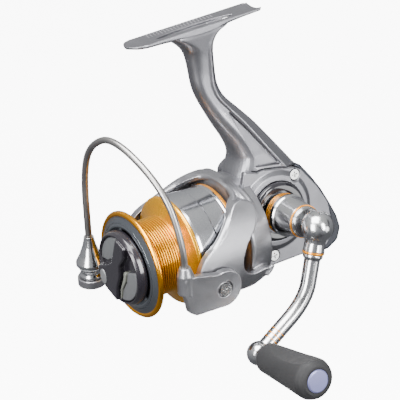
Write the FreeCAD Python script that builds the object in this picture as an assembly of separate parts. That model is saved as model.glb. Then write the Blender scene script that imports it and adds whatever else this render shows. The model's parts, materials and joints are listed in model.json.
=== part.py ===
import FreeCAD, Part
import math
import os

V = FreeCAD.Vector
os.makedirs("parts", exist_ok=True)

# Frame: the origin is the middle of the rod-seat face of the foot, +Z up, the front
# of the reel toward -Y and the crank toward +X.

# overall sizes
axis_drop = 75.5        # foot face to spool axis
foot_length = 52.0
foot_width = 11.4
body_width = 22.0
wall = 1.6              # cast walls of the gear case

# drive axis, which crosses above the spool axis
drive_y = 17.0
drive_rise = 5.0
drive_z = drive_rise - axis_drop

# fits
running_gap = 0.05      # radial clearance of a shaft in its bore
seat_gap = 0.02         # axial clearance of stacked pieces
free_gap = 0.4          # clearance of neighbours that turn or slide past one another

# gears: a face gear on the crank shaft and a spur pinion round the main shaft
drive_teeth = 40
pinion_teeth = 8
mesh_reach = 10.9       # from the drive axis to the middle of the mesh, along the pinion
mesh_pitch = 2 * math.pi * mesh_reach / drive_teeth
pinion_radius = pinion_teeth * mesh_pitch / (2 * math.pi)
addendum = 0.38
dedendum = 0.55
tooth_face = 2.4
disc_thick = 2.6
disc_radius = math.hypot(mesh_reach + tooth_face / 2, drive_rise) + 0.1
step_teeth = 16
oscillation_teeth = 30
step_module = 0.45
step_radius = step_teeth * step_module / 2
oscillation_radius = oscillation_teeth * step_module / 2
oscillation_y = drive_y + step_radius + oscillation_radius
oscillation_x = 3.6
step_face = 2.0
pinion_phase = 0.5      # share of a pitch that meshes the pinion with the face gear
step_tip = 0.8          # tooth heights of the small gears, in modules
step_root = 1.15

# shafts
main_radius = 1.25
crank_shaft_radius = 3.0
crank_bore = crank_shaft_radius - 0.9
axle_radius = 1.5
guide_radius = 0.9
guide_drop = 8.0        # guide rod below the spool axis
guide_z = -axis_drop - guide_drop
stroke = 7.0            # fore-and-aft travel of the spool

# crosswind block, at its rearmost place
slider_half = 2.4
block_half = 2.2
block_y = oscillation_y + stroke / 2
block_low = -10.5
block_high = 9.0
slot_depth = 1.2
shaft_tail = 2.6        # main shaft behind the middle of the block

# gear case: outlines in (y, height over the spool axis)
body_rear = block_y + shaft_tail + 8.55
case_outline = [(12.0, -14.5), (body_rear - 6.0, -14.5), (body_rear, -7.5), (body_rear - 1.5, 1.5),
                (body_rear - 5.0, 8.5), (body_rear - 13.5, 20.0), (20.0, 31.5), (9.4, 29.5), (9.0, 11.5)]
cover_top = [(20.5, 20.2), (12.5, 21.9), (9.0, 22.1)]
case_corner = 2.5
case_left = -body_width / 2
cover_split = body_width / 2 - 3.0      # x where the side cover meets the case
cover_thick = 2.2
boss_radius = 12.0
boss_rise = 1.2
rear_cover_thick = 1.5
neck_radius = 17.8
neck_front = 1.4
bearing_width = 3.0
front_bearing_outer = 5.0
nose_front = neck_front - 2.4
side_bearing_outer = 5.6
screw_radius = 0.9
screw_head = 1.9
screw_post = 3.1
screw_places = [(body_rear - 15.4, 15.2), (14.0, -11.1), (body_rear - 6.5, -10.5)]
rear_screw_z = -axis_drop - 12.5

# rotor
rotor_turn = 10.0       # degrees that the rotor is turned in its rest place
rotor_rear = 8.0
rotor_ring_radius = 20.4
rotor_wall = 1.5
drum_radius = 15.9
drum_front = -13.0
arm_inner = 20.6        # distance of an arm's inner face from the spool axis
arm_thick = 2.6
pivot_y = -16.4
pivot_z = -4.8
holder_hub = 6.8
holder_thick = 2.6
arm_outer = arm_inner + arm_thick + 0.4     # outer face of the pivot pads
pivot_radius = 1.5
pivot_head = 2.9

# spool
lip_radius = 19.2
lip_front = -37.6
lip_rear = -35.6
flange_radius = 19.4
flange_front = -21.6
arbor_radius = 13.4
skirt_radius = 18.6
skirt_rear = -2.8
skirt_wall = 1.2
hub_rear = -18.0
groove_count = 12
click_teeth = 24

well_radius = 9.2       # front well that holds the drag washers
well_floor = -28.6
plate_outer = 17.4
plate_inner = 13.9
felt_thick = 0.9
metal_thick = 0.5

# drag knob
knob_radius = 13.3
knob_front = -43.4
bar_turn = 24.0         # degrees, the bar's top leans to the crank side
button_radius = 1.9
button_x = -8.9
button_z = -4.4

# bail
wire_radius = 1.2
wire_half = 23.6
wire_height = 44.0
holder_socket_y = -29.6
holder_socket_z = 7.5
roller_y = -40.2
cone_top_z = 1.5
cone_height = 10.2
cone_skirt = 1.2
cone_radius = 5.0
roller_radius = 4.2
roller_height = 3.4
bolt_radius = 1.25
cap_z = cone_top_z - cone_height - cone_skirt - 0.4 - roller_height - 0.6
foot_thick = 3.0        # disc of the far lever that the roller's bolt passes through

# crank
boss_face = 13.4
shank_end = 27.2
knuckle_x = 35.4
knuckle_radius = 5.7
ferrule_radius = 3.8
arm_lean = 20.0         # degrees between the arm's first stretch and straight down
arm_reach_y = -29.6
arm_reach_z = -36.8
arm_tube = 2.75
arm_neck = 9.4          # knuckle to the start of the arm's tube
arm_straight = 25.6     # knuckle to the arm's bend
knob_length = 30.0
knob_start = 4.8        # knob's inner end, from the middle of the arm's end ball
spindle_length = knob_length + 0.2
spindle_radius = 1.6
bush_radius = 2.6
end_ball_radius = 3.9
pin_radius = 1.1


# ---- helpers ----

def save(name, shape):
    shape.exportStep("parts/" + name + ".step")
    print(name, len(shape.Solids), round(shape.Volume, 2), shape.isValid())


def rod(radius, start, end):
    axis = end - start
    return Part.makeCylinder(radius, axis.Length, start, axis)


def tube(outer, inner, start, end):
    return rod(outer, start, end).cut(rod(inner, start, end))


def along_x(radius, x0, x1, y=drive_y, z=drive_z):
    return rod(radius, V(x0, y, z), V(x1, y, z))


def along_y(radius, y0, y1, x=0.0, z=0.0):
    return rod(radius, V(x, y0, z), V(x, y1, z))


def ring_y(outer, inner, y0, y1, x=0.0, z=0.0):
    return along_y(outer, y0, y1, x, z).cut(along_y(inner, y0, y1, x, z))


def ring_x(outer, inner, x0, x1, y=drive_y, z=drive_z):
    return along_x(outer, x0, x1, y, z).cut(along_x(inner, x0, x1, y, z))


def box(x0, x1, y0, y1, z0, z1):
    return Part.makeBox(x1 - x0, y1 - y0, z1 - z0, V(x0, y0, z0))


def face_of(points):
    return Part.Face(Part.makePolygon(points + [points[0]]))


def turned_y(profile):
    """Solid of revolution about the spool axis from (y, radius) corners."""
    return face_of([V(r, y, 0) for y, r in profile]).revolve(V(0, 0, 0), V(0, 1, 0), 360)


def turned_x(profile, y=drive_y, z=drive_z):
    """Solid of revolution about an axis along X from (x, radius) corners."""
    shape = face_of([V(x, r, 0) for x, r in profile]).revolve(V(0, 0, 0), V(1, 0, 0), 360)
    return shape.translated(V(0, y, z))


def smooth_plate(outline, x0, x1):
    """Plate between two X planes whose outline in (y, z) is a closed curve."""
    curve = Part.BSplineCurve()
    curve.interpolate([V(x0, y, z) for y, z in outline], PeriodicFlag=True)
    return Part.Face(Part.Wire(curve.toShape())).extrude(V(x1 - x0, 0, 0))


def closed_wire(points):
    return Part.makePolygon(points + [points[0]])


def plate(points, x0, x1, corner=0.0):
    """Plate from the X plane of its corner points to another, with rounded corners."""
    wire = closed_wire(points)
    if corner:
        wire = wire.makeOffset2D(-corner).makeOffset2D(corner)
    return Part.Face(wire).extrude(V(x1 - x0, 0, 0))


def from_axis(outline, x=0.0):
    """Points of an outline whose heights are given from the spool axis."""
    return [V(x, y, height - axis_drop) for y, height in outline]


def fuse_all(shapes):
    return shapes[0].multiFuse(shapes[1:]).removeSplitter()


def in_spool(shape):
    """From the spool's own frame (axis through the origin) to the reel's."""
    return shape.translated(V(0, 0, -axis_drop))


def in_rotor(shape):
    """From the rotor's own frame to the reel's, at its rest turn."""
    return in_spool(shape.rotated(V(0, 0, 0), V(0, 1, 0), rotor_turn))


def rounded_path(points, share=0.45):
    """Straight runs joined by the largest tangent arcs that the runs allow."""
    edges = []
    start = points[0]
    for before, here, after in zip(points, points[1:], points[2:]):
        into = (here - before).normalize()
        out = (after - here).normalize()
        half_turn = into.getAngle(out) / 2
        reach = share * min((here - before).Length, (after - here).Length)
        radius = reach / math.tan(half_turn)
        first = here - into * reach
        last = here + out * reach
        inward = (out - into).normalize()
        middle = here + inward * (radius / math.cos(half_turn) - radius)
        edges.append(Part.LineSegment(start, first).toShape())
        edges.append(Part.Arc(first, middle, last).toShape())
        start = last
    edges.append(Part.LineSegment(start, points[-1]).toShape())
    return Part.Wire(edges)


def swept_rod(points, radius):
    path = rounded_path(points)
    circle = Part.Wire(Part.makeCircle(radius, points[0], points[1] - points[0]))
    return path.makePipeShell([circle], True, False)


# ---- case ----

def foot():
    half = foot_length / 2
    top = [V(0, -half, 0), V(0, half, 0), V(0, half, -1.6)]
    under = [V(0, 17.0, -4.2), V(0, 12.0, -7.5), V(0, -6.0, -7.5), V(0, -9.5, -5.2), V(0, -20.0, -3.6)]
    side = face_of(top + under + [V(0, -half, -1.6)])
    slab = side.extrude(V(foot_width, 0, 0)).translated(V(-foot_width / 2, 0, 0))
    round_end = foot_width * 0.55
    core = box(-foot_width / 2, foot_width / 2, -half + round_end, half - round_end, -9, 1)
    front = Part.makeCylinder(foot_width / 2, 10, V(0, -half + foot_width / 2, -9))
    rear = Part.makeCylinder(foot_width / 2, 10, V(0, half - foot_width / 2, -9))
    trough_radius = 16.0
    trough_depth = 0.9
    trough = along_y(trough_radius, -half - 1, half + 1, 0, trough_radius - trough_depth)
    pocket = box(-2.4, 2.4, -12.0, 15.0, -1.9, 1)
    return slab.common(fuse_all([core, front, rear])).cut(trough).cut(pocket)


def stem():
    """Curved column that widens from the foot down into the gear case."""
    upper_front = [(-3.2, -5.0), (-2.0, -12.0), (-1.7, -20.0), (-0.3, -27.0), (3.0, -35.0)]
    upper_rear = [(12.5, -34.3), (8.2, -28.0), (6.6, -22.5), (6.4, -14.0), (8.6, -8.0), (11.0, -5.0)]
    lower = [(8.0, 31.5), (10.5, 23.5), (24.0, 19.5), (26.5, 23.0), (19.5, 32.9)]
    side = upper_front + [(y, height - axis_drop) for y, height in lower] + upper_rear
    blade = smooth_plate(side, -body_width, body_width)
    half_top = 4.4
    half_low = body_width / 2 - 1.0
    half_front = [(half_top + 0.6, -4.0), (half_top, -14.0), (half_top, -30.0),
                  (half_low - 1.0, 25.5 - axis_drop), (half_low, 17.5 - axis_drop)]
    right = [V(x, -foot_length, z) for x, z in half_front]
    left = [V(-x, -foot_length, z) for x, z in reversed(half_front)]
    return blade.common(face_of(right + left).extrude(V(0, 3 * foot_length, 0)))


def case_hollow():
    """Space of the gears, the disc of the drive gear and the rear of the shaft."""
    inner = closed_wire(from_axis(case_outline, case_left + wall))
    hollow = Part.Face(inner.makeOffset2D(-wall)).extrude(V(body_width, 0, 0))
    neck = along_y(neck_radius - wall, neck_front + wall, 14.0, 0, -axis_drop)
    disc_pocket = along_x(disc_radius + 0.5, case_left + wall, 0.0)
    behind_neck = box(-body_width, body_width, neck_front + wall, 2 * body_rear, -2 * axis_drop, 0)
    disc_pocket = disc_pocket.common(behind_neck)
    roof = 26.0 - axis_drop
    limits = box(case_left + wall, body_width, -foot_length, 2 * body_rear, -2 * axis_drop, roof)
    return fuse_all([hollow, neck, disc_pocket]).common(limits)


def body_frame():
    gear_case = case_envelope()
    neck = along_y(neck_radius, neck_front, 14.0, 0, -axis_drop)
    neck = neck.common(box(case_left, cover_split, -foot_length, body_rear, -2 * axis_drop, 0))
    cover_room = box(cover_split, body_width, 0, 2 * body_rear, -2 * axis_drop, cover_top[2][1] - axis_drop)
    stem_part = stem().cut(cover_room)
    shape = fuse_all([foot(), stem_part, gear_case, neck]).cut(case_hollow())
    nose_radius = front_bearing_outer + 1.4
    nose = along_y(nose_radius, nose_front, neck_front + wall, 0, -axis_drop)
    post = along_x(side_bearing_outer + 1.2, case_left, case_left + bearing_width + 0.4)
    floor_x = case_left + 1.0
    bosses = [along_x(screw_post, slider_half + free_gap, cover_split, y, z) for y, z in screw_points()]
    rod_boss = along_y(2.0, neck_front + wall, neck_front + wall + 3.0, 0, guide_z)
    shape = fuse_all([shape, nose, post, rod_boss] + [b.common(case_envelope()) for b in bosses])
    front_bore = along_y(front_bearing_outer, neck_front - bearing_width, neck_front - 0.2, 0, -axis_drop)
    pinion_bore = along_y(pinion_radius + 0.9, neck_front - 1, neck_front + wall + 1, 0, -axis_drop)
    side_bore = along_x(side_bearing_outer, floor_x, floor_x + 7)
    shaft_bore = along_x(crank_bore + 0.4, case_left - 1, floor_x + 2)
    guide_bore = along_y(guide_radius, neck_front + wall, neck_front + wall + 4, 0, guide_z)
    rear_bore = along_y(guide_radius, body_rear - 6, body_rear - 0.8, 0, guide_z)
    rear_hole = along_y(screw_radius, body_rear - 6, body_rear + 2, 0, rear_screw_z)
    holes = [along_x(screw_radius, cover_split - 6, cover_split + 1, y, z) for y, z in screw_points()]
    cuts = [front_bore, pinion_bore, side_bore, shaft_bore, guide_bore, rear_bore, rear_hole]
    return shape.cut(Part.makeCompound(cuts + holes))


def case_envelope():
    return plate(from_axis(case_outline, case_left), case_left, cover_split, case_corner)


def screw_points():
    """Where the side cover's screws stand, as (y, z)."""
    return [(y, height - axis_drop) for y, height in screw_places]


def side_cover():
    """Right half of the case, with the boss that the crank comes out of."""
    inner_x = cover_split + seat_gap
    outer_x = cover_split + cover_thick
    outline = case_outline[:6] + cover_top + case_outline[8:]
    sheet = plate(from_axis(outline, inner_x), inner_x, outer_x, case_corner)
    boss = along_x(boss_radius, inner_x, outer_x + boss_rise)
    bowl = along_x(boss_radius - 1.4, outer_x + 0.7, outer_x + 2)
    osc_boss = along_x(2.6, oscillation_x + step_face + 0.4, inner_x + 0.3, oscillation_y, drive_z)
    shape = fuse_all([sheet, boss, osc_boss]).cut(bowl)
    bearing_bore = along_x(side_bearing_outer, inner_x - 1, inner_x + bearing_width - 0.6)
    shank_bore = along_x(crank_shaft_radius + 0.5, inner_x - 1, outer_x + 3)
    axle_bore = along_x(axle_radius, 0, inner_x + 1.2, oscillation_y, drive_z)
    holes = [along_x(screw_radius + 0.1, inner_x - 1, outer_x + 1, y, z) for y, z in screw_points()]
    sinks = [along_x(screw_head, outer_x - 0.9, outer_x + 3, y, z) for y, z in screw_points()]
    return shape.cut(Part.makeCompound([bearing_bore, shank_bore, axle_bore] + holes + sinks))


def rear_cover():
    """Shell over the back edge of the case, set in a little from both sides."""
    inset = 0.8
    band = closed_wire(from_axis(case_outline, case_left + inset))
    outer = Part.Face(band.makeOffset2D(rear_cover_thick)).extrude(V(body_width - 2 * inset, 0, 0))
    inner = Part.Face(band.makeOffset2D(seat_gap + 0.01)).extrude(V(body_width, 0, 0))
    behind = [(body_rear - 10.8, 16.5), (body_rear + 18, 35.5), (body_rear + 18, -19.5),
              (body_rear - 12.0, -19.5), (body_rear - 6.0, -10.5)]
    zone = face_of(from_axis(behind, -body_width)).extrude(V(2 * body_width, 0, 0))
    shell = outer.cut(inner.translated(V(-inset, 0, 0))).common(zone)
    hole = along_y(screw_radius + 0.1, body_rear - 6, body_rear + 4, 0, rear_screw_z)
    return shell.cut(hole)


def pan_screw_x(y, z, seat_x, shank_end_x, head=1.8):
    """Pan-head screw along X with a cross slot; the head lies on the +X side."""
    shank = along_x(screw_radius - running_gap, shank_end_x, seat_x + 0.1, y, z)
    cap = along_x(head, seat_x, seat_x + 0.8, y, z)
    slots = box(seat_x + 0.35, seat_x + 2, y - 0.25, y + 0.25, z - 1.1, z + 1.1)
    slots = slots.fuse(box(seat_x + 0.35, seat_x + 2, y - 1.1, y + 1.1, z - 0.25, z + 0.25))
    return shank.fuse(cap).cut(slots)


def side_cover_screws():
    seat = cover_split + cover_thick - 0.9 + seat_gap
    return Part.makeCompound([pan_screw_x(y, z, seat, seat - 4.5) for y, z in screw_points()])


def rear_cover_screw():
    length = 5.0
    screw = pan_screw_x(0, 0, 0, -length)
    screw = screw.rotated(V(0, 0, 0), V(0, 0, 1), 90)
    return screw.translated(V(0, rear_face_y(), rear_screw_z))


def rear_face_y():
    """Where the screw's head meets the sloping rear cover, just outside it."""
    lower = case_outline[1]
    upper = case_outline[2]
    share = (rear_screw_z + axis_drop - lower[1]) / (upper[1] - lower[1])
    return lower[0] + share * (upper[0] - lower[0]) + 3.4


def crank_boss_ring():
    inner_x = cover_split + cover_thick + 0.7 + seat_gap
    profile = [(inner_x, 10.4), (boss_face - 0.5, 9.6), (boss_face, 8.8), (boss_face, 7.6), (inner_x, 7.6)]
    return turned_x(profile)


def left_screw_cap():
    return turned_x([(case_left - 1.6, 0), (case_left - 1.6, 5.0), (case_left - 0.8, 6.0),
                     (case_left - seat_gap, 6.0), (case_left - seat_gap, 0)])


def ball_bearing_x(x0, outer, inner):
    """Ring bearing on the drive axis, with rounded grooves in both faces."""
    shape = ring_x(outer - seat_gap, inner + seat_gap, x0, x0 + bearing_width - 0.2)
    middle = (outer + inner) / 2
    groove = ring_x(middle + 0.5, middle - 0.5, x0 - 0.1, x0 + 0.3)
    return shape.cut(groove).cut(groove.translated(V(bearing_width - 0.4, 0, 0)))


def drive_bearing_left():
    return ball_bearing_x(case_left + 1.0 + seat_gap, side_bearing_outer, crank_shaft_radius)


def drive_bearing_right():
    return ball_bearing_x(cover_split + seat_gap * 2 - 0.6, side_bearing_outer, crank_shaft_radius)


# ---- gear train ----

def drive_gear():
    root_x = -(pinion_radius + addendum + 0.25)
    tip_x = -(pinion_radius - dedendum + 0.15)
    disc = along_x(disc_radius, root_x - disc_thick, root_x)
    hub_left = case_left + 1.0 + seat_gap
    hub = along_x(crank_shaft_radius, hub_left, cover_split + cover_thick + 0.2)
    collar = along_x(crank_shaft_radius + 1.6, root_x - disc_thick - 1.0, root_x + 0.6)
    teeth = []
    half_tip = 0.10 * mesh_pitch
    half_root = 0.20 * mesh_pitch
    # straight teeth, tangent to the circle that the pinion's axis touches
    out0 = mesh_reach - tooth_face / 2
    out1 = mesh_reach + tooth_face / 2
    for index in range(drive_teeth):
        section = [V(root_x - 0.2, out0, -half_root), V(root_x - 0.2, out0, half_root),
                   V(tip_x, out0, half_tip), V(tip_x, out0, -half_tip)]
        tooth = face_of(section).extrude(V(0, out1 - out0, 0)).translated(V(0, 0, drive_rise))
        tooth = tooth.rotated(V(0, 0, 0), V(1, 0, 0), 360.0 * index / drive_teeth)
        teeth.append(tooth.translated(V(0, drive_y, drive_z)))
    step = spur_gear(step_teeth, step_radius, step_face, oscillation_x, drive_y, drive_z, 0.0)
    shape = fuse_all([disc, hub, collar, step] + teeth)
    return shape.cut(along_x(crank_bore, case_left - 2, body_width))


def spur_gear(count, radius, face, x0, y, z, phase):
    """Straight spur gear on an axis along X, with thin trapezoid teeth."""
    tip = radius + step_tip * step_module
    root = radius - step_root * step_module
    pitch = 2 * math.pi * radius / count
    half_tip = 0.12 * pitch
    half_root = 0.27 * pitch
    shapes = [along_x(root, x0, x0 + face, 0, 0)]
    for index in range(count):
        section = [V(x0, root - 0.2, -half_root), V(x0, root - 0.2, half_root),
                   V(x0, tip, half_tip), V(x0, tip, -half_tip)]
        tooth = face_of(section).extrude(V(face, 0, 0))
        shapes.append(tooth.rotated(V(0, 0, 0), V(1, 0, 0), 360.0 * index / count + phase))
    return fuse_all(shapes).translated(V(0, y, z))


def pinion_gear():
    length_front = drum_front - 3.0
    tooth_y0 = drive_y - disc_radius - 0.3
    tooth_y1 = drive_y - mesh_reach + tooth_face / 2 + 0.5
    sleeve = pinion_radius - dedendum
    journal = pinion_radius + 0.25
    shapes = [along_y(journal, length_front, tooth_y0), along_y(sleeve, tooth_y0, tooth_y1)]
    half_root = 0.18 * mesh_pitch
    half_tip = 0.07 * mesh_pitch
    for index in range(pinion_teeth):
        tip = pinion_radius + addendum
        section = [V(-half_root, tooth_y0, sleeve - 0.25), V(half_root, tooth_y0, sleeve - 0.25),
                   V(half_tip, tooth_y0, tip), V(-half_tip, tooth_y0, tip)]
        tooth = face_of(section).extrude(V(0, tooth_y1 - tooth_y0, 0))
        turn = 360.0 * (index + pinion_phase) / pinion_teeth
        shapes.append(tooth.rotated(V(0, 0, 0), V(0, 1, 0), turn))
    bore = along_y(main_radius + running_gap, length_front - 1, tooth_y1 + 1)
    return in_spool(fuse_all(shapes).cut(bore))


def oscillation_gear():
    phase = 180.0 + 180.0 / oscillation_teeth
    gear = spur_gear(oscillation_teeth, oscillation_radius, step_face, oscillation_x, oscillation_y,
                     drive_z, phase)
    crank_pin = along_x(1.2, slider_half + free_gap, oscillation_x + 0.5, block_y, drive_z)
    gear = gear.fuse(crank_pin)
    bore = along_x(axle_radius + running_gap, oscillation_x - 2, oscillation_x + 5, oscillation_y, drive_z)
    return gear.cut(bore)


def oscillation_axle():
    inner_x = cover_split + seat_gap
    shaft = along_x(axle_radius - running_gap, oscillation_x - 0.3, inner_x + 1.1, oscillation_y, drive_z)
    head = along_x(2.3, oscillation_x - 0.9, oscillation_x - 0.3, oscillation_y, drive_z)
    return shaft.fuse(head)


def main_shaft():
    shaft = along_y(main_radius, knob_front + 5.0, block_y + shaft_tail)
    cross_pin = rod(0.6, V(-3.2, hub_rear + 1.0, 0), V(3.2, hub_rear + 1.0, 0))
    return in_spool(shaft.fuse(cross_pin))


def crosswind_block():
    block = box(-1.6, slider_half, block_y - block_half, block_y + block_half, block_low, block_high)
    slot = box(slider_half - slot_depth, slider_half + 1, block_y - 1.3, block_y + 1.3, 0.4, 8.4)
    shaft_bore = along_y(main_radius + seat_gap, block_y - 4, block_y + 4)
    guide_bore = along_y(guide_radius + running_gap, block_y - 4, block_y + 4, 0, -guide_drop)
    pin_bore = rod(0.6, V(0, block_y, 0), V(0, block_y, block_high + 1))
    return in_spool(block.cut(Part.makeCompound([slot, shaft_bore, guide_bore, pin_bore])))


def crosswind_screw():
    shank = rod(0.55, V(0, block_y, main_radius + seat_gap * 2), V(0, block_y, block_high + 0.1))
    head = rod(1.3, V(0, block_y, block_high + seat_gap), V(0, block_y, block_high + 0.9))
    return in_spool(head.fuse(shank))


def crosswind_guide():
    start = neck_front + wall + 0.2
    return along_y(guide_radius - 0.02, start, body_rear - 1.2, 0, guide_z)


def pinion_bearing():
    inner = pinion_radius + 0.25 + seat_gap
    back = neck_front - 0.2 - seat_gap
    front = nose_front + seat_gap
    shape = ring_y(front_bearing_outer - seat_gap, inner, front, back)
    middle = (front_bearing_outer + inner) / 2
    groove = ring_y(middle + 0.5, middle - 0.5, front - 1, front + 0.3)
    return in_spool(shape.cut(groove))


def one_way_clutch():
    inner = pinion_radius + 0.25 + seat_gap
    back = nose_front - seat_gap
    front = back - 4.1
    shape = turned_y([(front, inner), (front, 7.6), (front + 0.8, 8.2), (back, 8.2), (back, inner)])
    rollers = [along_y(0.7, front - 0.2, front + 0.5, 4.6 * math.cos(a), 4.6 * math.sin(a))
               for a in [math.radians(45 * k) for k in range(8)]]
    return in_spool(shape.cut(Part.makeCompound(rollers)))


# ---- rotor ----

def rotor():
    ring = turned_y([(-0.6, rotor_ring_radius - rotor_wall), (-0.6, rotor_ring_radius - 0.4),
                     (0.4, rotor_ring_radius), (rotor_rear, rotor_ring_radius - 0.6),
                     (rotor_rear, rotor_ring_radius - rotor_wall - 0.6)])
    floor = turned_y([(-1.8, drum_radius - 1.2), (-1.8, drum_radius + 0.2), (-0.4, rotor_ring_radius - 0.6),
                      (1.0, rotor_ring_radius - 1.2), (-0.4, drum_radius - 1.2)])
    drum = turned_y([(drum_front, pinion_radius + 0.4), (drum_front, drum_radius - 1.0),
                     (drum_front + 1.0, drum_radius), (-0.6, drum_radius), (-0.6, drum_radius - 1.3),
                     (drum_front + 1.8, drum_radius - 1.3), (drum_front + 1.8, pinion_radius + 0.4)])
    shapes = [ring, floor, drum]
    for side in (-1, 1):
        shapes.append(rotor_arm(side))
    shape = fuse_all(shapes)
    return in_rotor(shape)


def rotor_arm(side):
    """Blade from the ring forward to the bail pivot, hollowed from behind down to a hooked end."""
    outline = [(2.6, 17.4), (-4.5, 17.6), (-9.0, 13.6), (-14.0, 9.8), (-20.5, 6.4), (-24.2, 1.5),
               (-24.0, -7.5), (-20.0, -11.2), (-10.0, -11.9), (0.2, -11.9), (3.4, -9.6), (6.2, -6.8), (4.2, -5.6),
               (-0.8, -6.0), (-4.7, -4.2), (-6.1, -1.0), (-5.6, 2.6), (-3.2, 6.6), (0.8, 10.6), (3.2, 14.4)]
    sheet = smooth_plate(outline, -30.0, 30.0)
    shell = ring_y(arm_inner + arm_thick, arm_inner, -30, rotor_rear + 4)
    rim = ring_y(arm_inner + arm_thick, rotor_ring_radius - rotor_wall, -0.2, rotor_rear - 1.0)
    band = fuse_all([shell.fuse(rim)]).common(box(5, 30, -30, rotor_rear + 1, -20, 20))
    arm = sheet.common(band)
    pad = rod(5.4, V(arm_inner + 0.4, pivot_y, pivot_z), V(arm_outer, pivot_y, pivot_z))
    inner_keep = along_y(arm_inner, -60, 20)
    arm = fuse_all([arm, pad.cut(inner_keep)])
    arm = arm.cut(rod(pivot_radius, V(10, pivot_y, pivot_z), V(40, pivot_y, pivot_z)))
    if side < 0:
        arm = arm.mirror(V(0, 0, 0), V(1, 0, 0))
    return arm


def rotor_nut():
    corner = 4.6
    thick = 2.6
    turns = [math.radians(60 * k) for k in range(6)]
    hexagon = face_of([V(corner * math.cos(a), drum_front - thick, corner * math.sin(a)) for a in turns])
    nut = hexagon.extrude(V(0, thick - seat_gap, 0))
    nut = nut.cut(along_y(pinion_radius + 0.25 + seat_gap, drum_front - 5, drum_front + 1))
    return in_rotor(nut)


# ---- bail ----

def bail_plane(across, up):
    """Point of the bail wire's plane, which leans a little forward on the roller side."""
    lean = 0.19
    middle_y = (holder_socket_y + roller_y) / 2
    return V(across, middle_y + lean * across, up)


def bail_wire():
    points = [bail_plane(wire_half, holder_socket_z + 0.4), bail_plane(wire_half - 0.3, wire_height * 0.35),
              bail_plane(wire_half * 0.63, wire_height * 0.75),
              bail_plane(-0.30 * wire_half, wire_height + 2.0),
              bail_plane(-0.83 * wire_half, wire_height * 0.885),
              bail_plane(-wire_half - 0.3, wire_height * 0.59), bail_plane(-wire_half, cone_top_z + 0.5)]
    return in_rotor(swept_rod(points, wire_radius))


def bail_holder():
    """Lever of the crank side, from its pivot to the socket of the wire."""
    x0 = arm_outer + free_gap
    x1 = x0 + holder_thick
    socket_y = bail_plane(wire_half, 0).y
    hub = rod(holder_hub, V(x0, pivot_y, pivot_z), V(x1, pivot_y, pivot_z))
    corners = [(pivot_y - 0.4, pivot_z - holder_hub + 0.1), (socket_y + 2.2, pivot_z - 6.2),
               (socket_y - 0.6, pivot_z - 4.2), (socket_y - 1.8, pivot_z + 2.0), (socket_y - 1.6, 4.0),
               (socket_y + 2.8, 4.0), (pivot_y - 3.0, 1.8), (pivot_y + 2.0, 1.4)]
    link = plate([V(x0, y, z) for y, z in corners], x0, x1, 1.0)
    post_x = wire_half + 0.2
    post = rod(2.9, V(post_x, socket_y, -2.5), V(post_x, socket_y, 4.5))
    cone = Part.makeCone(2.9, 1.9, holder_socket_z - 4.5, V(post_x, socket_y, 4.5))
    shape = fuse_all([hub, link, post, cone])
    seat = rod(pivot_head, V(x1 - 1.0, pivot_y, pivot_z), V(x1 + 2, pivot_y, pivot_z))
    bore = rod(pivot_radius, V(x0 - 1, pivot_y, pivot_z), V(x1 + 1, pivot_y, pivot_z))
    wire_bore = rod(wire_radius + 0.02, bail_plane(wire_half, holder_socket_z - 3.0),
                    bail_plane(wire_half, holder_socket_z + 3.0))
    return in_rotor(shape.cut(Part.makeCompound([seat, bore, wire_bore])))


def bail_lever():
    """Lever of the far side, from its pivot to the foot of the line roller."""
    x0 = arm_outer + free_gap
    x1 = x0 + holder_thick
    roller_end_y = bail_plane(-wire_half, 0).y
    hub = rod(5.6, V(-x1, pivot_y, pivot_z), V(-x0, pivot_y, pivot_z))
    corners = [(pivot_y + 2.0, pivot_z - 5.2), (roller_end_y + 1.0, cap_z - foot_thick),
               (roller_end_y - 2.0, cap_z - 2.4), (roller_end_y - 2.4, cap_z), (roller_end_y + 5.4, cap_z),
               (pivot_y - 3.0, pivot_z + 4.6)]
    link = plate([V(-x1, y, z) for y, z in corners], -x1, -x0)
    foot_disc = rod(cone_radius - 0.1, V(-wire_half, roller_end_y, cap_z - foot_thick),
                    V(-wire_half, roller_end_y, cap_z))
    shape = fuse_all([hub, link, foot_disc])
    seat = rod(pivot_head, V(-x1 - 2, pivot_y, pivot_z), V(-x1 + 1.0, pivot_y, pivot_z))
    bore = rod(pivot_radius, V(-x1 - 1, pivot_y, pivot_z), V(-x0 + 1, pivot_y, pivot_z))
    foot_z = cap_z - 4
    bolt = rod(bolt_radius + running_gap, V(-wire_half, roller_end_y, foot_z), V(-wire_half, roller_end_y, 0))
    return in_rotor(shape.cut(Part.makeCompound([seat, bore, bolt])))


def roller_centre():
    return bail_plane(-wire_half, 0).y


def bail_cone():
    y = roller_centre()
    base_z = cone_top_z - cone_height
    cone = Part.makeCone(cone_radius, 1.8, cone_height, V(-wire_half, y, base_z))
    skirt = rod(cone_radius, V(-wire_half, y, base_z - cone_skirt), V(-wire_half, y, base_z))
    shape = cone.fuse(skirt)
    wire_bore = rod(wire_radius + 0.02, bail_plane(-wire_half, cone_top_z - 3.0), bail_plane(-wire_half, 9))
    bolt_bore = rod(bolt_radius + seat_gap, V(-wire_half, y, base_z - 2), V(-wire_half, y, base_z + 3))
    return in_rotor(shape.cut(wire_bore).cut(bolt_bore))


def line_roller():
    y = roller_centre()
    top = cone_top_z - cone_height - cone_skirt - 0.25
    low = cap_z + 0.25
    middle = (top + low) / 2
    edge = roller_radius
    waist = roller_radius - 0.7
    profile = face_of([V(2.0, 0, low), V(edge, 0, low), V(edge, 0, low + 0.5), V(waist, 0, middle - 0.3),
                       V(waist, 0, middle + 0.3), V(edge, 0, top - 0.5), V(edge, 0, top), V(2.0, 0, top)])
    ring = profile.revolve(V(0, 0, 0), V(0, 0, 1), 360)
    return in_rotor(ring.translated(V(-wire_half, y, 0)))


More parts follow.
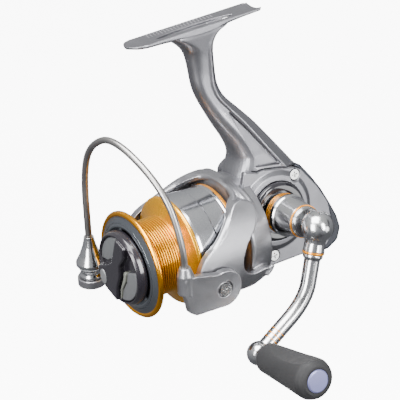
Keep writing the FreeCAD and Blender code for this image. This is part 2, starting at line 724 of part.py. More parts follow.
def roller_bush():
    y = roller_centre()
    top = cone_top_z - cone_height - cone_skirt - seat_gap
    low = cap_z + seat_gap
    start = V(-wire_half, y, low)
    return in_rotor(tube(2.0 - running_gap, bolt_radius + seat_gap, start, V(-wire_half, y, top)))


def roller_bolt():
    y = roller_centre()
    top = cone_top_z - cone_height + 2.6
    low = cap_z - foot_thick - seat_gap
    shank = rod(bolt_radius - seat_gap, V(-wire_half, y, low), V(-wire_half, y, top))
    head = rod(2.6, V(-wire_half, y, low - 1.0), V(-wire_half, y, low))
    slot = box(-wire_half - 0.3, -wire_half + 0.3, y - 3, y + 3, low - 1.2, low - 0.6)
    return in_rotor(shank.fuse(head).cut(slot))


def bail_pivot_screw(side):
    x1 = arm_outer + free_gap + holder_thick
    seat = x1 - 1.0 + seat_gap
    tip_x = arm_inner + 0.2
    shank = rod(pivot_radius - running_gap, V(tip_x, pivot_y, pivot_z), V(seat + 0.1, pivot_y, pivot_z))
    head = rod(2.3, V(seat, pivot_y, pivot_z), V(seat + 1.5, pivot_y, pivot_z))
    slots = box(seat + 0.8, seat + 3, pivot_y - 0.3, pivot_y + 0.3, pivot_z - 1.4, pivot_z + 1.4)
    cross = box(seat + 0.8, seat + 3, pivot_y - 1.4, pivot_y + 1.4, pivot_z - 0.3, pivot_z + 0.3)
    slots = slots.fuse(cross)
    screw = shank.fuse(head).cut(slots)
    if side < 0:
        screw = screw.mirror(V(0, 0, 0), V(1, 0, 0))
    return in_rotor(screw)


def bail_pivot_screw_right():
    return bail_pivot_screw(1)


def bail_pivot_screw_left():
    return bail_pivot_screw(-1)


# ---- spool ----

def spool():
    floor_y = flange_front + 1.6
    bore = main_radius + 0.6
    grooves = []
    span = flange_front - lip_rear
    pitch = span / (groove_count + 1)
    body = turned_y([(lip_rear - 0.2, bore), (lip_rear - 0.2, plate_outer), (lip_rear + 0.4, plate_outer),
                     (lip_rear + 1.2, arbor_radius),
                     (flange_front - 0.4, arbor_radius), (flange_front, flange_radius - 0.4),
                     (floor_y, flange_radius), (floor_y, 4.2), (hub_rear, 4.2), (hub_rear, bore)])
    for index in range(groove_count):
        y = lip_rear + pitch * (index + 1)
        grooves.append(ring_y(arbor_radius + 1, arbor_radius - 0.35, y - 0.25, y + 0.25))
    well = along_y(well_radius, lip_rear - 1, well_floor)
    return in_spool(body.cut(Part.makeCompound(grooves)).cut(well))


def spool_lip():
    back = lip_rear - 0.2 - seat_gap
    return in_spool(turned_y([(lip_front, plate_outer), (lip_front, lip_radius - 1.0),
                              (lip_front + 0.5, lip_radius - 0.3), (lip_front + 1.1, lip_radius),
                              (back, lip_radius - 0.3), (back, plate_outer)]))


def spool_front_plate():
    outer = plate_outer - seat_gap
    back = lip_rear - 0.2 - seat_gap
    return in_spool(turned_y([(lip_front - 1.0, plate_inner), (lip_front - 1.0, plate_inner + 0.6),
                              (lip_front - 0.2, plate_inner + 1.0), (lip_front + 0.1, outer),
                              (back, outer), (back, well_radius), (back - 0.6, well_radius),
                              (back - 0.6, plate_inner)]))


def spool_skirt():
    front = flange_front + 1.6 + seat_gap
    step_y = front + 8.0
    return in_spool(turned_y([(front, skirt_radius - skirt_wall + 0.4), (front, skirt_radius + 0.5),
                              (step_y, skirt_radius + 0.1), (step_y + 0.3, skirt_radius - 0.2),
                              (skirt_rear - 1.4, skirt_radius - 0.4),
                              (skirt_rear - 1.4, skirt_radius - skirt_wall - 0.3)]))


def skirt_accent_ring():
    front = skirt_rear - 1.4 + seat_gap
    outer = skirt_radius - 0.2
    return in_spool(turned_y([(front, outer - 1.2), (front, outer), (skirt_rear - 0.3, outer),
                              (skirt_rear, outer - 0.3), (skirt_rear, outer - 1.2)]))


def washer_front(index):
    """Front of the felt washer of that number, counted from the well's floor."""
    return well_floor - felt_thick - seat_gap - index * (felt_thick + metal_thick + 2 * seat_gap)


def drag_washers_metal():
    """Two keyed metal washers of the drag stack, in the front well of the spool."""
    pieces = []
    for index in (0, 1):
        back = washer_front(index) - seat_gap
        washer = ring_y(well_radius - 0.7, main_radius + 0.5, back - metal_thick, back)
        ear = box(-1.0, 1.0, back - metal_thick, back, well_radius - 1.2, well_radius - 0.1)
        pieces.append(washer.fuse(ear))
    return in_spool(Part.makeCompound(pieces))


def drag_washers_felt():
    pieces = []
    for index in (0, 1, 2):
        front = washer_front(index)
        pieces.append(ring_y(well_radius - 0.8, main_radius + 0.5, front, front + felt_thick))
    return in_spool(Part.makeCompound(pieces))


def drag_retainer():
    """Open wire clip that holds the washers in the well."""
    back = washer_front(2) - seat_gap
    clip = ring_y(well_radius - 0.1, well_radius - 0.9, back - 0.6, back)
    return in_spool(clip.cut(box(-1.5, 1.5, back - 1, back + 1, 0, well_radius + 1)))


def spool_click_gear():
    front = flange_front + 1.6 + seat_gap
    shapes = [ring_y(7.0, 4.2 + seat_gap, front, front + 1.0)]
    for index in range(click_teeth):
        tooth = box(-0.3, 0.3, front, front + 1.0, 6.8, 7.7)
        shapes.append(tooth.rotated(V(0, 0, 0), V(0, 1, 0), 360.0 * index / click_teeth))
    return in_spool(fuse_all(shapes))


def spool_support_washer():
    return in_spool(ring_y(3.6, main_radius + 0.05, hub_rear + 0.1, hub_rear + 0.38))


def button_shape(radius, y0, y1):
    rods = [along_y(radius, y0, y1, button_x, button_z + shift) for shift in (-0.9, 0.9)]
    return fuse_all(rods)


def drag_knob():
    """Cup-shaped knob whose front carries a curved bar between two hollows."""
    back = lip_front - 0.6 - free_gap
    shell = turned_y([(back, knob_radius - 1.6), (back, knob_radius), (back - 1.2, knob_radius),
                      (knob_front + 3.4, knob_radius - 0.8), (knob_front + 2.8, knob_radius - 1.8),
                      (knob_front + 2.8, 0), (knob_front + 4.4, 0), (knob_front + 4.4, knob_radius - 2.6),
                      (back, knob_radius - 2.6)])
    outline = [(-2.3, 13.0), (3.1, 13.0), (3.6, 7.5), (1.8, 3.2), (2.7, -1.0), (1.9, -6.5), (2.8, -13.0),
               (-7.0, -13.0), (-11.5, -8.0), (-9.8, -4.4), (-6.2, -1.6), (-3.0, 1.6), (-2.7, 6.0)]
    bar = face_of([V(x, knob_front, z) for x, z in outline]).extrude(V(0, 3.4, 0))
    bar = bar.rotated(V(0, 0, 0), V(0, 1, 0), bar_turn)
    bar = bar.common(along_y(knob_radius - 1.2, knob_front - 1, knob_front + 4))
    stub = along_y(5.0, knob_front + 3.4, washer_front(2) - 0.7)
    bore = along_y(main_radius + running_gap, knob_front + 4.8, 0)
    seat = button_shape(button_radius + seat_gap, knob_front - 1, knob_front + 0.5)
    return in_spool(fuse_all([shell, bar, stub]).cut(bore).cut(seat))


def drag_knob_button():
    """Oval press-in button at one end of the knob's bar."""
    front = knob_front - 0.4
    back = knob_front + 0.5 - seat_gap
    return in_spool(button_shape(button_radius, front, back))


# ---- crank ----

def handle_shank():
    profile = [(boss_face + 0.4, 0), (boss_face + 0.4, 6.9), (16.4, 7.1), (17.6, 7.5), (18.8, 7.5),
               (19.4, 7.1), (19.8, 6.9), (shank_end, 5.8), (shank_end, 0)]
    body = turned_x(profile)
    inner = along_x(crank_bore - 0.02, case_left + 0.6, boss_face + 1)
    return body.fuse(inner).cut(handle_band_rings())


def handle_band_rings():
    rings = [ring_x(7.15, 6.0, boss_face + 0.8 + k * 1.0, boss_face + 1.2 + k * 1.0) for k in range(3)]
    return Part.makeCompound(rings)


def shank_accent_ring():
    return ring_x(5.9, 3.2, shank_end + seat_gap, shank_end + 1.2)


def crank_tongue():
    """Fold tongue that stands out of the shank into the slot of the knuckle."""
    start = shank_end + 1.2 + seat_gap
    collar = along_x(4.9, start, start + 1.4)
    core = along_x(3.2 - seat_gap, shank_end + seat_gap, start + 0.1)
    tongue = box(start + 1.0, knuckle_x, -3.0, 3.0, -1.5, 1.5)
    nose = Part.makeCylinder(3.0, 3.0, V(knuckle_x, 0, -1.5))
    tongue = tongue.fuse(nose)
    tongue = to_arm(tongue)
    pin_hole = to_arm(Part.makeCylinder(pin_radius, 20, V(knuckle_x, 0, -10)))
    return fuse_all([collar, core, tongue]).cut(pin_hole)


def to_arm(shape):
    """From a frame with X along the crank shaft and -Y along the arm to the reel's."""
    return shape.rotated(V(0, 0, 0), V(1, 0, 0), 90 - arm_lean).translated(V(0, drive_y, drive_z))


def fold_pin():
    return to_arm(Part.makeCylinder(pin_radius - 0.03, 9.6, V(knuckle_x, 0, -4.8)))


def handle_knuckle():
    ball = Part.makeSphere(knuckle_radius, V(knuckle_x, 0, 0))
    neck = rod(ferrule_radius, V(knuckle_x, -3.0, 0), V(knuckle_x, -8.6, 0))
    taper = Part.makeCone(4.6, ferrule_radius, 4.0, V(knuckle_x, -3.4, 0), V(0, -1, 0))
    slot = box(knuckle_x - 9, knuckle_x + 3.4, -3.4, 9, -1.8, 1.8)
    pin_hole = Part.makeCylinder(pin_radius, 20, V(knuckle_x, 0, -10))
    shape = fuse_all([ball, neck, taper]).cut(slot).cut(pin_hole)
    shape = shape.cut(box(knuckle_x - 9, knuckle_x - 4.6, -9, 9, -9, 9))
    return to_arm(shape)


def arm_accent_ring():
    ring = tube(ferrule_radius + 0.1, 2.0, V(knuckle_x, -8.6 - seat_gap, 0), V(knuckle_x, -9.4, 0))
    return to_arm(ring)


def arm_line():
    """Corners of the arm's middle line: knuckle, bend and the knob's end."""
    lean = math.radians(arm_lean)
    down = V(0, -math.sin(lean), -math.cos(lean))
    knuckle = V(knuckle_x, drive_y, drive_z)
    knob_end = V(knuckle_x - 0.6, drive_y + arm_reach_y, drive_z + arm_reach_z)
    bend = knuckle + down * arm_straight
    return knuckle + down * arm_neck, bend, knob_end, down


def bent_rod(start, bend, end, radius, share=0.45):
    """Rod in two straight runs with a round bend between them."""
    into = (bend - start).normalize()
    out = (end - bend).normalize()
    turn = into.getAngle(out)
    reach = share * min((bend - start).Length, (end - bend).Length)
    first = bend - into * reach
    last = bend + out * reach
    bend_radius = reach / math.tan(turn / 2)
    axis = into.cross(out).normalize()
    centre = first + axis.cross(into) * bend_radius
    disc = Part.Face(Part.Wire(Part.makeCircle(radius, first, into)))
    elbow = disc.revolve(centre, axis, math.degrees(turn))
    return [rod(radius, start, first), elbow, rod(radius, last, end)]


def handle_arm():
    start, bend, knob_end, down = arm_line()
    right = V(1, 0, 0)
    stub = rod(2.0 - seat_gap, start - down * (0.8 - seat_gap), start + down * 0.5)
    bead = rod(3.4, start + down * seat_gap, start + down * 1.8)
    middle = bent_rod(start + down * 1.5, bend, knob_end, arm_tube)
    end_ball = Part.makeSphere(end_ball_radius, knob_end, right)
    tip = knob_end + right * spindle_length
    spindle = rod(spindle_radius, knob_end, tip)
    spindle = spindle.cut(rod(0.7, tip - right * 6.0, tip + right))
    collar = rod(3.4, knob_end, knob_end + right * (knob_start - 0.4))
    return fuse_all([stub, bead, end_ball, spindle, collar] + middle)


def arm_band_rings():
    start, bend, knob_end, down = arm_line()
    along = (knob_end - bend).normalize()
    rings = []
    for index in range(3):
        place = bend + along * (15.0 + index * 2.2)
        rings.append(tube(arm_tube + 0.25, arm_tube + seat_gap, place, place + along * 0.7))
    return Part.makeCompound(rings)


def knob_bushes():
    end = arm_line()[2]
    bushes = []
    for place in (knob_start + 0.6, knob_start + knob_length - 8.8):
        start = end + V(place, 0, 0)
        bushes.append(tube(bush_radius, spindle_radius + seat_gap, start, start + V(4, 0, 0)))
    return Part.makeCompound(bushes)


def knob_grip():
    """Soft grip that widens outward, with two flat scoops for the fingers."""
    end = arm_line()[2]
    x0 = knob_start
    x1 = x0 + knob_length
    bore = bush_radius + running_gap
    profile = [(x0, bore), (x0, 4.6), (x0 + 1.2, 5.3), (x0 + 8, 5.8), (x0 + 16, 6.4), (x0 + 24, 7.1),
               (x1 - 3, 7.3), (x1 - 1.0, 6.6), (x1, 5.2), (x1, 4.1), (x1 - 3.4, 4.1), (x1 - 3.4, bore)]
    shape = turned_x(profile, end.y, end.z).translated(V(end.x, 0, 0))
    scoop_radius = 60.0
    scoop_x = end.x + x0 + 13
    for side in (1, -1):
        height = end.z + side * (scoop_radius + 4.9)
        scoop = rod(scoop_radius, V(scoop_x, end.y - 20, height), V(scoop_x, end.y + 20, height))
        shape = shape.cut(scoop)
    return shape


def knob_cap():
    end = arm_line()[2]
    x1 = end.x + knob_start + knob_length
    profile = [(x1 - 3.2, 0), (x1 - 3.2, 4.1 - seat_gap * 2), (x1 + 0.2, 4.0), (x1 + 0.5, 3.4), (x1 + 0.5, 0)]
    return turned_x(profile, end.y, end.z)


def knob_screw():
    end = arm_line()[2]
    start = end.x + spindle_length + seat_gap
    return turned_x([(start - 5.0, 0), (start - 5.0, 0.68), (start, 0.68), (start, 2.4), (start + 0.9, 2.4),
                     (start + 0.9, 0)], end.y, end.z)


pieces = {
    "body_frame": body_frame, "side_cover": side_cover, "rear_cover": rear_cover,
    "side_cover_screws": side_cover_screws, "rear_cover_screw": rear_cover_screw,
    "crank_boss_ring": crank_boss_ring, "left_screw_cap": left_screw_cap,
    "drive_bearing_left": drive_bearing_left, "drive_bearing_right": drive_bearing_right,
    "pinion_bearing": pinion_bearing, "one_way_clutch": one_way_clutch,
    "crosswind_guide": crosswind_guide,
    "oscillation_axle": oscillation_axle, "drive_gear": drive_gear, "pinion_gear": pinion_gear,
    "oscillation_gear": oscillation_gear, "main_shaft": main_shaft, "crosswind_block": crosswind_block,
    "crosswind_screw": crosswind_screw, "rotor": rotor, "rotor_nut": rotor_nut, "bail_wire": bail_wire,
    "bail_holder": bail_holder, "bail_lever": bail_lever, "bail_cone": bail_cone,
    "line_roller": line_roller, "roller_bush": roller_bush, "roller_bolt": roller_bolt,
    "bail_pivot_screw_right": bail_pivot_screw_right, "bail_pivot_screw_left": bail_pivot_screw_left,
    "spool": spool, "spool_lip": spool_lip, "spool_front_plate": spool_front_plate,
    "spool_skirt": spool_skirt, "skirt_accent_ring": skirt_accent_ring,
    "drag_washers_metal": drag_washers_metal, "drag_washers_felt": drag_washers_felt,
    "drag_retainer": drag_retainer, "spool_click_gear": spool_click_gear,
    "spool_support_washer": spool_support_washer, "drag_knob": drag_knob,
    "drag_knob_button": drag_knob_button, "handle_shank": handle_shank,
    "handle_band_rings": handle_band_rings, "shank_accent_ring": shank_accent_ring,
    "crank_tongue": crank_tongue, "fold_pin": fold_pin, "handle_knuckle": handle_knuckle,
    "arm_accent_ring": arm_accent_ring, "handle_arm": handle_arm, "arm_band_rings": arm_band_rings,
    "knob_bushes": knob_bushes, "knob_grip": knob_grip, "knob_cap": knob_cap, "knob_screw": knob_screw,
}
for name, build in pieces.items():
    save(name, build())
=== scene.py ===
import json
import math
import bpy
import bmesh
from mathutils import Matrix, Vector


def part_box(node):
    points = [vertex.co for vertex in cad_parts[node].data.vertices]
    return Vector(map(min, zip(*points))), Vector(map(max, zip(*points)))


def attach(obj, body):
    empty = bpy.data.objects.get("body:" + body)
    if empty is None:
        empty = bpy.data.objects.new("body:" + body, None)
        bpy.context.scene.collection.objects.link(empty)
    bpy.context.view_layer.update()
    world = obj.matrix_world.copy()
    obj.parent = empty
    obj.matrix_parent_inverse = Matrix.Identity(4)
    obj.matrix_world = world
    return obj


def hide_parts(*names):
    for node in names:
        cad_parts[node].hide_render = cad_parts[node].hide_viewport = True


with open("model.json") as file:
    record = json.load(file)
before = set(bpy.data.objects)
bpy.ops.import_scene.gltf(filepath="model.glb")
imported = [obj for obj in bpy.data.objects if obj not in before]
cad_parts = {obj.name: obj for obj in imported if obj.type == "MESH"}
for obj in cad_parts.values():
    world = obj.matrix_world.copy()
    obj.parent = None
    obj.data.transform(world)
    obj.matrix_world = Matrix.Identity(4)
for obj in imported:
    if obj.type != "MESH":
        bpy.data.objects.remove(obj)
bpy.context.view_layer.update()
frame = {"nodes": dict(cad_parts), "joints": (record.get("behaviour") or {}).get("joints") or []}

# All sizes below are in millimetres in the reel's own frame: the origin is the middle
# of the foot's rod seat, +Z up, the spool toward -Y and the crank toward +X.
mm = 0.001
joints = {joint["name"]: joint for joint in frame["joints"]}
nodes = frame["nodes"]
finishes = {}


def jointPlace(name):
    return Vector(joints[name]["pos_m"]) / mm


def jointAxis(name):
    return Vector(joints[name]["axis"]).normalized()


spoolAxis = jointPlace("rotor_spin")
crankAxis = jointPlace("crank_turn")
kneePlace = jointPlace("handle_fold")
knobPlace = jointPlace("knob_turn")
rotorX = jointAxis("bail_open")
rotorZ = jointAxis("line_roller_turn")
along = Vector((0, 1, 0))
right = Vector((1, 0, 0))
spoolCentre = Vector((0, 0, spoolAxis.z))
crankCentre = Vector((0, crankAxis.y, crankAxis.z))
sharpAngle = math.radians(40)      # edges sharper than this stay crisp


def fromAxis(y, height, x=0.0):
    return Vector((x, y, spoolAxis.z + height))


def inRotor(across, y, up):
    return Vector((0, y, spoolAxis.z)) + rotorX * across + rotorZ * up


# making meshes

def sideAxes(axis):
    first = axis.orthogonal().normalized()
    return first, axis.cross(first).normalized()


def meshObject(name, points, faces):
    mesh = bpy.data.meshes.new(name)
    mesh.from_pydata([tuple(Vector(p) * mm) for p in points], [], faces)
    work = bmesh.new()
    work.from_mesh(mesh)
    bmesh.ops.remove_doubles(work, verts=work.verts, dist=1e-7)
    bmesh.ops.recalc_face_normals(work, faces=work.faces)
    work.to_mesh(mesh)
    work.free()
    made = bpy.data.objects.new(name, mesh)
    bpy.context.scene.collection.objects.link(made)
    return made


def applyModifiers(piece):
    bpy.context.view_layer.update()
    graph = bpy.context.evaluated_depsgraph_get()
    baked = bpy.data.meshes.new_from_object(piece.evaluated_get(graph))
    piece.modifiers.clear()
    piece.data = baked


def softenShading(piece):
    for face in piece.data.polygons:
        face.use_smooth = True
    piece.data.set_sharp_from_angle(angle=sharpAngle)
    return piece


def joined(name, parts):
    points = []
    faces = []
    for part in parts:
        start = len(points)
        points += [v.co / mm for v in part.data.vertices]
        faces += [tuple(start + i for i in face.vertices) for face in part.data.polygons]
        bpy.data.objects.remove(part)
    mesh = bpy.data.meshes.new(name)
    mesh.from_pydata([tuple(p * mm) for p in points], [], faces)
    made = bpy.data.objects.new(name, mesh)
    bpy.context.scene.collection.objects.link(made)
    return made


def cutAway(piece, cutters):
    cutter = joined("cutter", cutters)
    change = piece.modifiers.new("cut", "BOOLEAN")
    change.operation = "DIFFERENCE"
    change.solver = "EXACT"
    change.use_self = True
    change.object = cutter
    applyModifiers(piece)
    bpy.data.objects.remove(cutter)


def castSkin(piece, grain, rounds):
    # one even skin over joined solids, with its edges eased
    skin = piece.modifiers.new("skin", "REMESH")
    skin.mode = "VOXEL"
    skin.voxel_size = grain * mm
    skin.adaptivity = 0
    ease = piece.modifiers.new("ease", "SMOOTH")
    ease.factor = 0.5
    ease.iterations = rounds
    applyModifiers(piece)
    for face in piece.data.polygons:
        face.use_smooth = True


def nodeCopy(name, node):
    points = [v.co / mm for v in nodes[node].data.vertices]
    faces = [tuple(face.vertices) for face in nodes[node].data.polygons]
    return meshObject(name, points, faces)


def cornerPoints(start, corner, end, steps):
    shares = [step / steps for step in range(steps + 1)]
    return [start * (1 - t) ** 2 + corner * 2 * t * (1 - t) + end * t * t for t in shares]


def filleted(corners, steps=4):
    # each corner is (place along the axis, radius, size of its rounding)
    loop = []
    count = len(corners)
    for index, (place, radius, rounding) in enumerate(corners):
        here = Vector((place, radius))
        before = Vector(corners[index - 1][:2])
        after = Vector(corners[(index + 1) % count][:2])
        into = here - before
        out = after - here
        if rounding <= 0 or into.length < 1e-6 or out.length < 1e-6:
            loop.append(here)
            continue
        reach = rounding * math.tan(into.angle(out) / 2)
        reach = min(reach, 0.48 * into.length, 0.48 * out.length)
        start = here - into.normalized() * reach
        end = here + out.normalized() * reach
        loop += cornerPoints(start, here, end, steps)
    return loop


def turned(name, corners, origin, axis, segments=128, steps=4):
    first, second = sideAxes(axis)
    points = []
    rings = []
    for place, radius in filleted(corners, steps):
        middle = origin + axis * place
        if radius < 1e-4:
            rings.append([len(points)])
            points.append(middle)
            continue
        rings.append(list(range(len(points), len(points) + segments)))
        for index in range(segments):
            turn = 2 * math.pi * index / segments
            points.append(middle + (first * math.cos(turn) + second * math.sin(turn)) * radius)
    faces = []
    for index, ring in enumerate(rings):
        after = rings[(index + 1) % len(rings)]
        if len(ring) == 1 and len(after) == 1:
            continue
        for k in range(segments):
            n = (k + 1) % segments
            if len(ring) == 1:
                faces.append((ring[0], after[k], after[n]))
            elif len(after) == 1:
                faces.append((ring[k], ring[n], after[0]))
            else:
                faces.append((ring[k], ring[n], after[n], after[k]))
    return softenShading(meshObject(name, points, faces))


def rodBetween(name, start, end, radius, segments=48):
    axis = (end - start).normalized()
    length = (end - start).length
    return turned(name, [(0, 0, 0), (0, radius, 0), (length, radius, 0), (length, 0, 0)],
                  start, axis, segments)


def easedLine(points, steps=10):
    # a smooth line that starts and ends at its outer points and rounds the others
    line = [points[0]]
    for index in range(1, len(points) - 1):
        start = (points[index - 1] + points[index]) / 2
        end = (points[index] + points[index + 1]) / 2
        line += cornerPoints(start, points[index], end, steps)
    line.append(points[-1])
    clean = [line[0]]
    for point in line[1:]:
        if (point - clean[-1]).length > 1e-4:
            clean.append(point)
    return clean


def sideFaces(rows, count):
    # wall between each ring of points and the next
    faces = []
    for base in range(0, (rows - 1) * count, count):
        for k in range(count):
            n = (k + 1) % count
            faces.append((base + k, base + n, base + count + n, base + count + k))
    return faces


def sweptTube(name, line, radiusAt, segments=32):
    points = []
    total = len(line)
    across = None
    for index, point in enumerate(line):
        heading = (line[min(index + 1, total - 1)] - line[max(index - 1, 0)]).normalized()
        if across is None:
            across = heading.orthogonal().normalized()
        across = (across - heading * across.dot(heading)).normalized()
        other = heading.cross(across)
        radius = radiusAt(index / (total - 1))
        for k in range(segments):
            turn = 2 * math.pi * k / segments
            points.append(point + (across * math.cos(turn) + other * math.sin(turn)) * radius)
    ends = [tuple(range(segments)), tuple(range((total - 1) * segments, total * segments))]
    return softenShading(meshObject(name, points, sideFaces(total, segments) + ends))


def prism(name, low, high):
    # two matching loops of points with a wall between them
    count = len(low)
    faces = [tuple(range(count)), tuple(range(count, 2 * count))]
    faces += [(k, (k + 1) % count, count + (k + 1) % count, count + k) for k in range(count)]
    return meshObject(name, low + high, faces)


def roundEdges(piece, size, angle):
    edge = piece.modifiers.new("edge", "BEVEL")
    edge.width = size * mm
    edge.segments = 3
    edge.limit_method = "ANGLE"
    edge.angle_limit = math.radians(angle)
    applyModifiers(piece)


def lofted(name, sections):
    count = len(sections[0])
    points = [point for section in sections for point in section]
    ends = [tuple(range(count)), tuple(range((len(sections) - 1) * count, len(sections) * count))]
    return meshObject(name, points, ends + sideFaces(len(sections), count))


def plateBetween(name, outline, x0, x1, bevel=0.0):
    # outline holds (y, height, rounding) about the spool axis
    loop = filleted(outline, 6)
    made = prism(name, [fromAxis(y, up, x0) for y, up in loop], [fromAxis(y, up, x1) for y, up in loop])
    if bevel:
        roundEdges(made, bevel, 50)
    return softenShading(made)


def eased(table, place):
    # value at a place from (place, value) pairs, with smooth slopes between them
    table = sorted(table)
    if place <= table[0][0]:
        return table[0][1]
    if place >= table[-1][0]:
        return table[-1][1]
    index = max(i for i, pair in enumerate(table) if pair[0] <= place)
    (x0, y0), (x1, y1) = table[index], table[index + 1]
    before = table[max(index - 1, 0)]
    after = table[min(index + 2, len(table) - 1)]
    slope0 = (y1 - before[1]) / (x1 - before[0])
    slope1 = (after[1] - y0) / (after[0] - x0)
    t = (place - x0) / (x1 - x0)
    span = x1 - x0
    return ((2 * t ** 3 - 3 * t ** 2 + 1) * y0 + (t ** 3 - 2 * t ** 2 + t) * span * slope0
            + (3 * t ** 2 - 2 * t ** 3) * y1 + (t ** 3 - t ** 2) * span * slope1)


# finishes

def nodeLink(tree, source, target):
    tree.links.new(source, target)


def setSockets(node, values):
    for name, value in values.items():
        node.inputs[name].default_value = value


def vectorNode(tree, operation, source, fixed=None):
    made = tree.nodes.new("ShaderNodeVectorMath")
    made.operation = operation
    nodeLink(tree, source, made.inputs[0])
    if fixed is not None:
        made.inputs[1].default_value = tuple(fixed)
    return made


def distanceFrom(tree, origin, axis):
    # distance along an axis and distance from it
    spot = tree.nodes.new("ShaderNodeTexCoord").outputs["Object"]
    shift = vectorNode(tree, "SUBTRACT", spot, origin * mm).outputs[0]
    ahead = vectorNode(tree, "DOT_PRODUCT", shift, axis).outputs["Value"]
    cross = vectorNode(tree, "CROSS_PRODUCT", shift, axis).outputs[0]
    return ahead, vectorNode(tree, "LENGTH", cross).outputs["Value"]


def measured(tree, origin, axis):
    # both distances added up, for lines left by a lathe
    ahead, away = distanceFrom(tree, origin, axis)
    total = tree.nodes.new("ShaderNodeMath")
    total.operation = "ADD"
    nodeLink(tree, ahead, total.inputs[0])
    nodeLink(tree, away, total.inputs[1])
    return total.outputs[0]


def noiseOf(tree, size, detail=2.0, source=None):
    cloud = tree.nodes.new("ShaderNodeTexNoise")
    setSockets(cloud, {"Detail": detail, "Scale": 1 / (size * mm)})
    if source is None:
        spot = tree.nodes.new("ShaderNodeTexCoord").outputs["Object"]
        nodeLink(tree, spot, cloud.inputs["Vector"])
    else:
        cloud.noise_dimensions = "1D"
        nodeLink(tree, source, cloud.inputs["W"])
    return cloud.outputs["Fac"]


def spread(tree, source, low, high, fromLow=0.3, fromHigh=0.7):
    scale = tree.nodes.new("ShaderNodeMapRange")
    setSockets(scale, {"From Min": fromLow, "From Max": fromHigh, "To Min": low, "To Max": high})
    nodeLink(tree, source, scale.inputs["Value"])
    return scale.outputs["Result"]


def blendColour(tree, factor, first, second):
    mix = tree.nodes.new("ShaderNodeMix")
    mix.data_type = "RGBA"
    nodeLink(tree, factor, mix.inputs["Factor"])
    for socket, colour in ((mix.inputs[6], first), (mix.inputs[7], second)):
        if isinstance(colour, tuple):
            socket.default_value = (*colour, 1)
        else:
            nodeLink(tree, colour, socket)
    return mix.outputs[2]


def makeFinish(name, recipe):
    material = bpy.data.materials.new(name)
    material.use_nodes = True
    tree = material.node_tree
    shader = tree.nodes["Principled BSDF"]
    setSockets(shader, {"Metallic": recipe.get("metal", 0.0), "Coat Weight": recipe.get("coat", 0.0),
                        "Coat Roughness": recipe.get("coatRough", 0.1)})
    if "sheen" in recipe:
        setSockets(shader, {"Sheen Weight": recipe["sheen"], "Sheen Roughness": 0.5})
    grain = noiseOf(tree, recipe.get("grainSize", 0.4), 3.0)
    cloud = noiseOf(tree, 6.0, 3.0)
    shade = blendColour(tree, spread(tree, grain, 0, 1), recipe["dark"], recipe["light"])
    # raised edges get a lighter colour: partly edge wear, partly painted highlight
    if "edgeWearAndHighlight" in recipe:
        edge = tree.nodes.new("ShaderNodeNewGeometry").outputs["Pointiness"]
        wearAndHighlightShare = spread(tree, edge, 0, 1, *edgeWearAndHighlightRange)
        shade = blendColour(tree, wearAndHighlightShare, shade, recipe["edgeWearAndHighlight"])
    # painted shade: the colour darkens towards the bottoms of the grooves
    if "grooves" in recipe:
        origin, axis, bottom, top = recipe["grooves"]
        grooveShadeShare = spread(tree, distanceFrom(tree, origin, axis)[1], 0, 1, bottom * mm, top * mm)
        shade = blendColour(tree, grooveShadeShare, recipe["grooveShadeColour"], shade)
    nodeLink(tree, shade, shader.inputs["Base Color"])
    low, high = recipe["rough"]
    rough = spread(tree, cloud, low, high)
    heights = grain
    depth = recipe.get("grainDepth", 0.004)
    if "lines" in recipe:
        origin, axis = recipe["lines"]
        lines = noiseOf(tree, recipe.get("lineSize", 0.25), 2.0, measured(tree, origin, axis))
        rough = spread(tree, lines, low, high)
        heights = lines
        depth = recipe.get("lineDepth", 0.002)
    nodeLink(tree, rough, shader.inputs["Roughness"])
    bump = tree.nodes.new("ShaderNodeBump")
    setSockets(bump, {"Strength": recipe.get("bump", 0.6), "Distance": depth * mm})
    nodeLink(tree, heights, bump.inputs["Height"])
    nodeLink(tree, bump.outputs["Normal"], shader.inputs["Normal"])
    finishes[name] = material


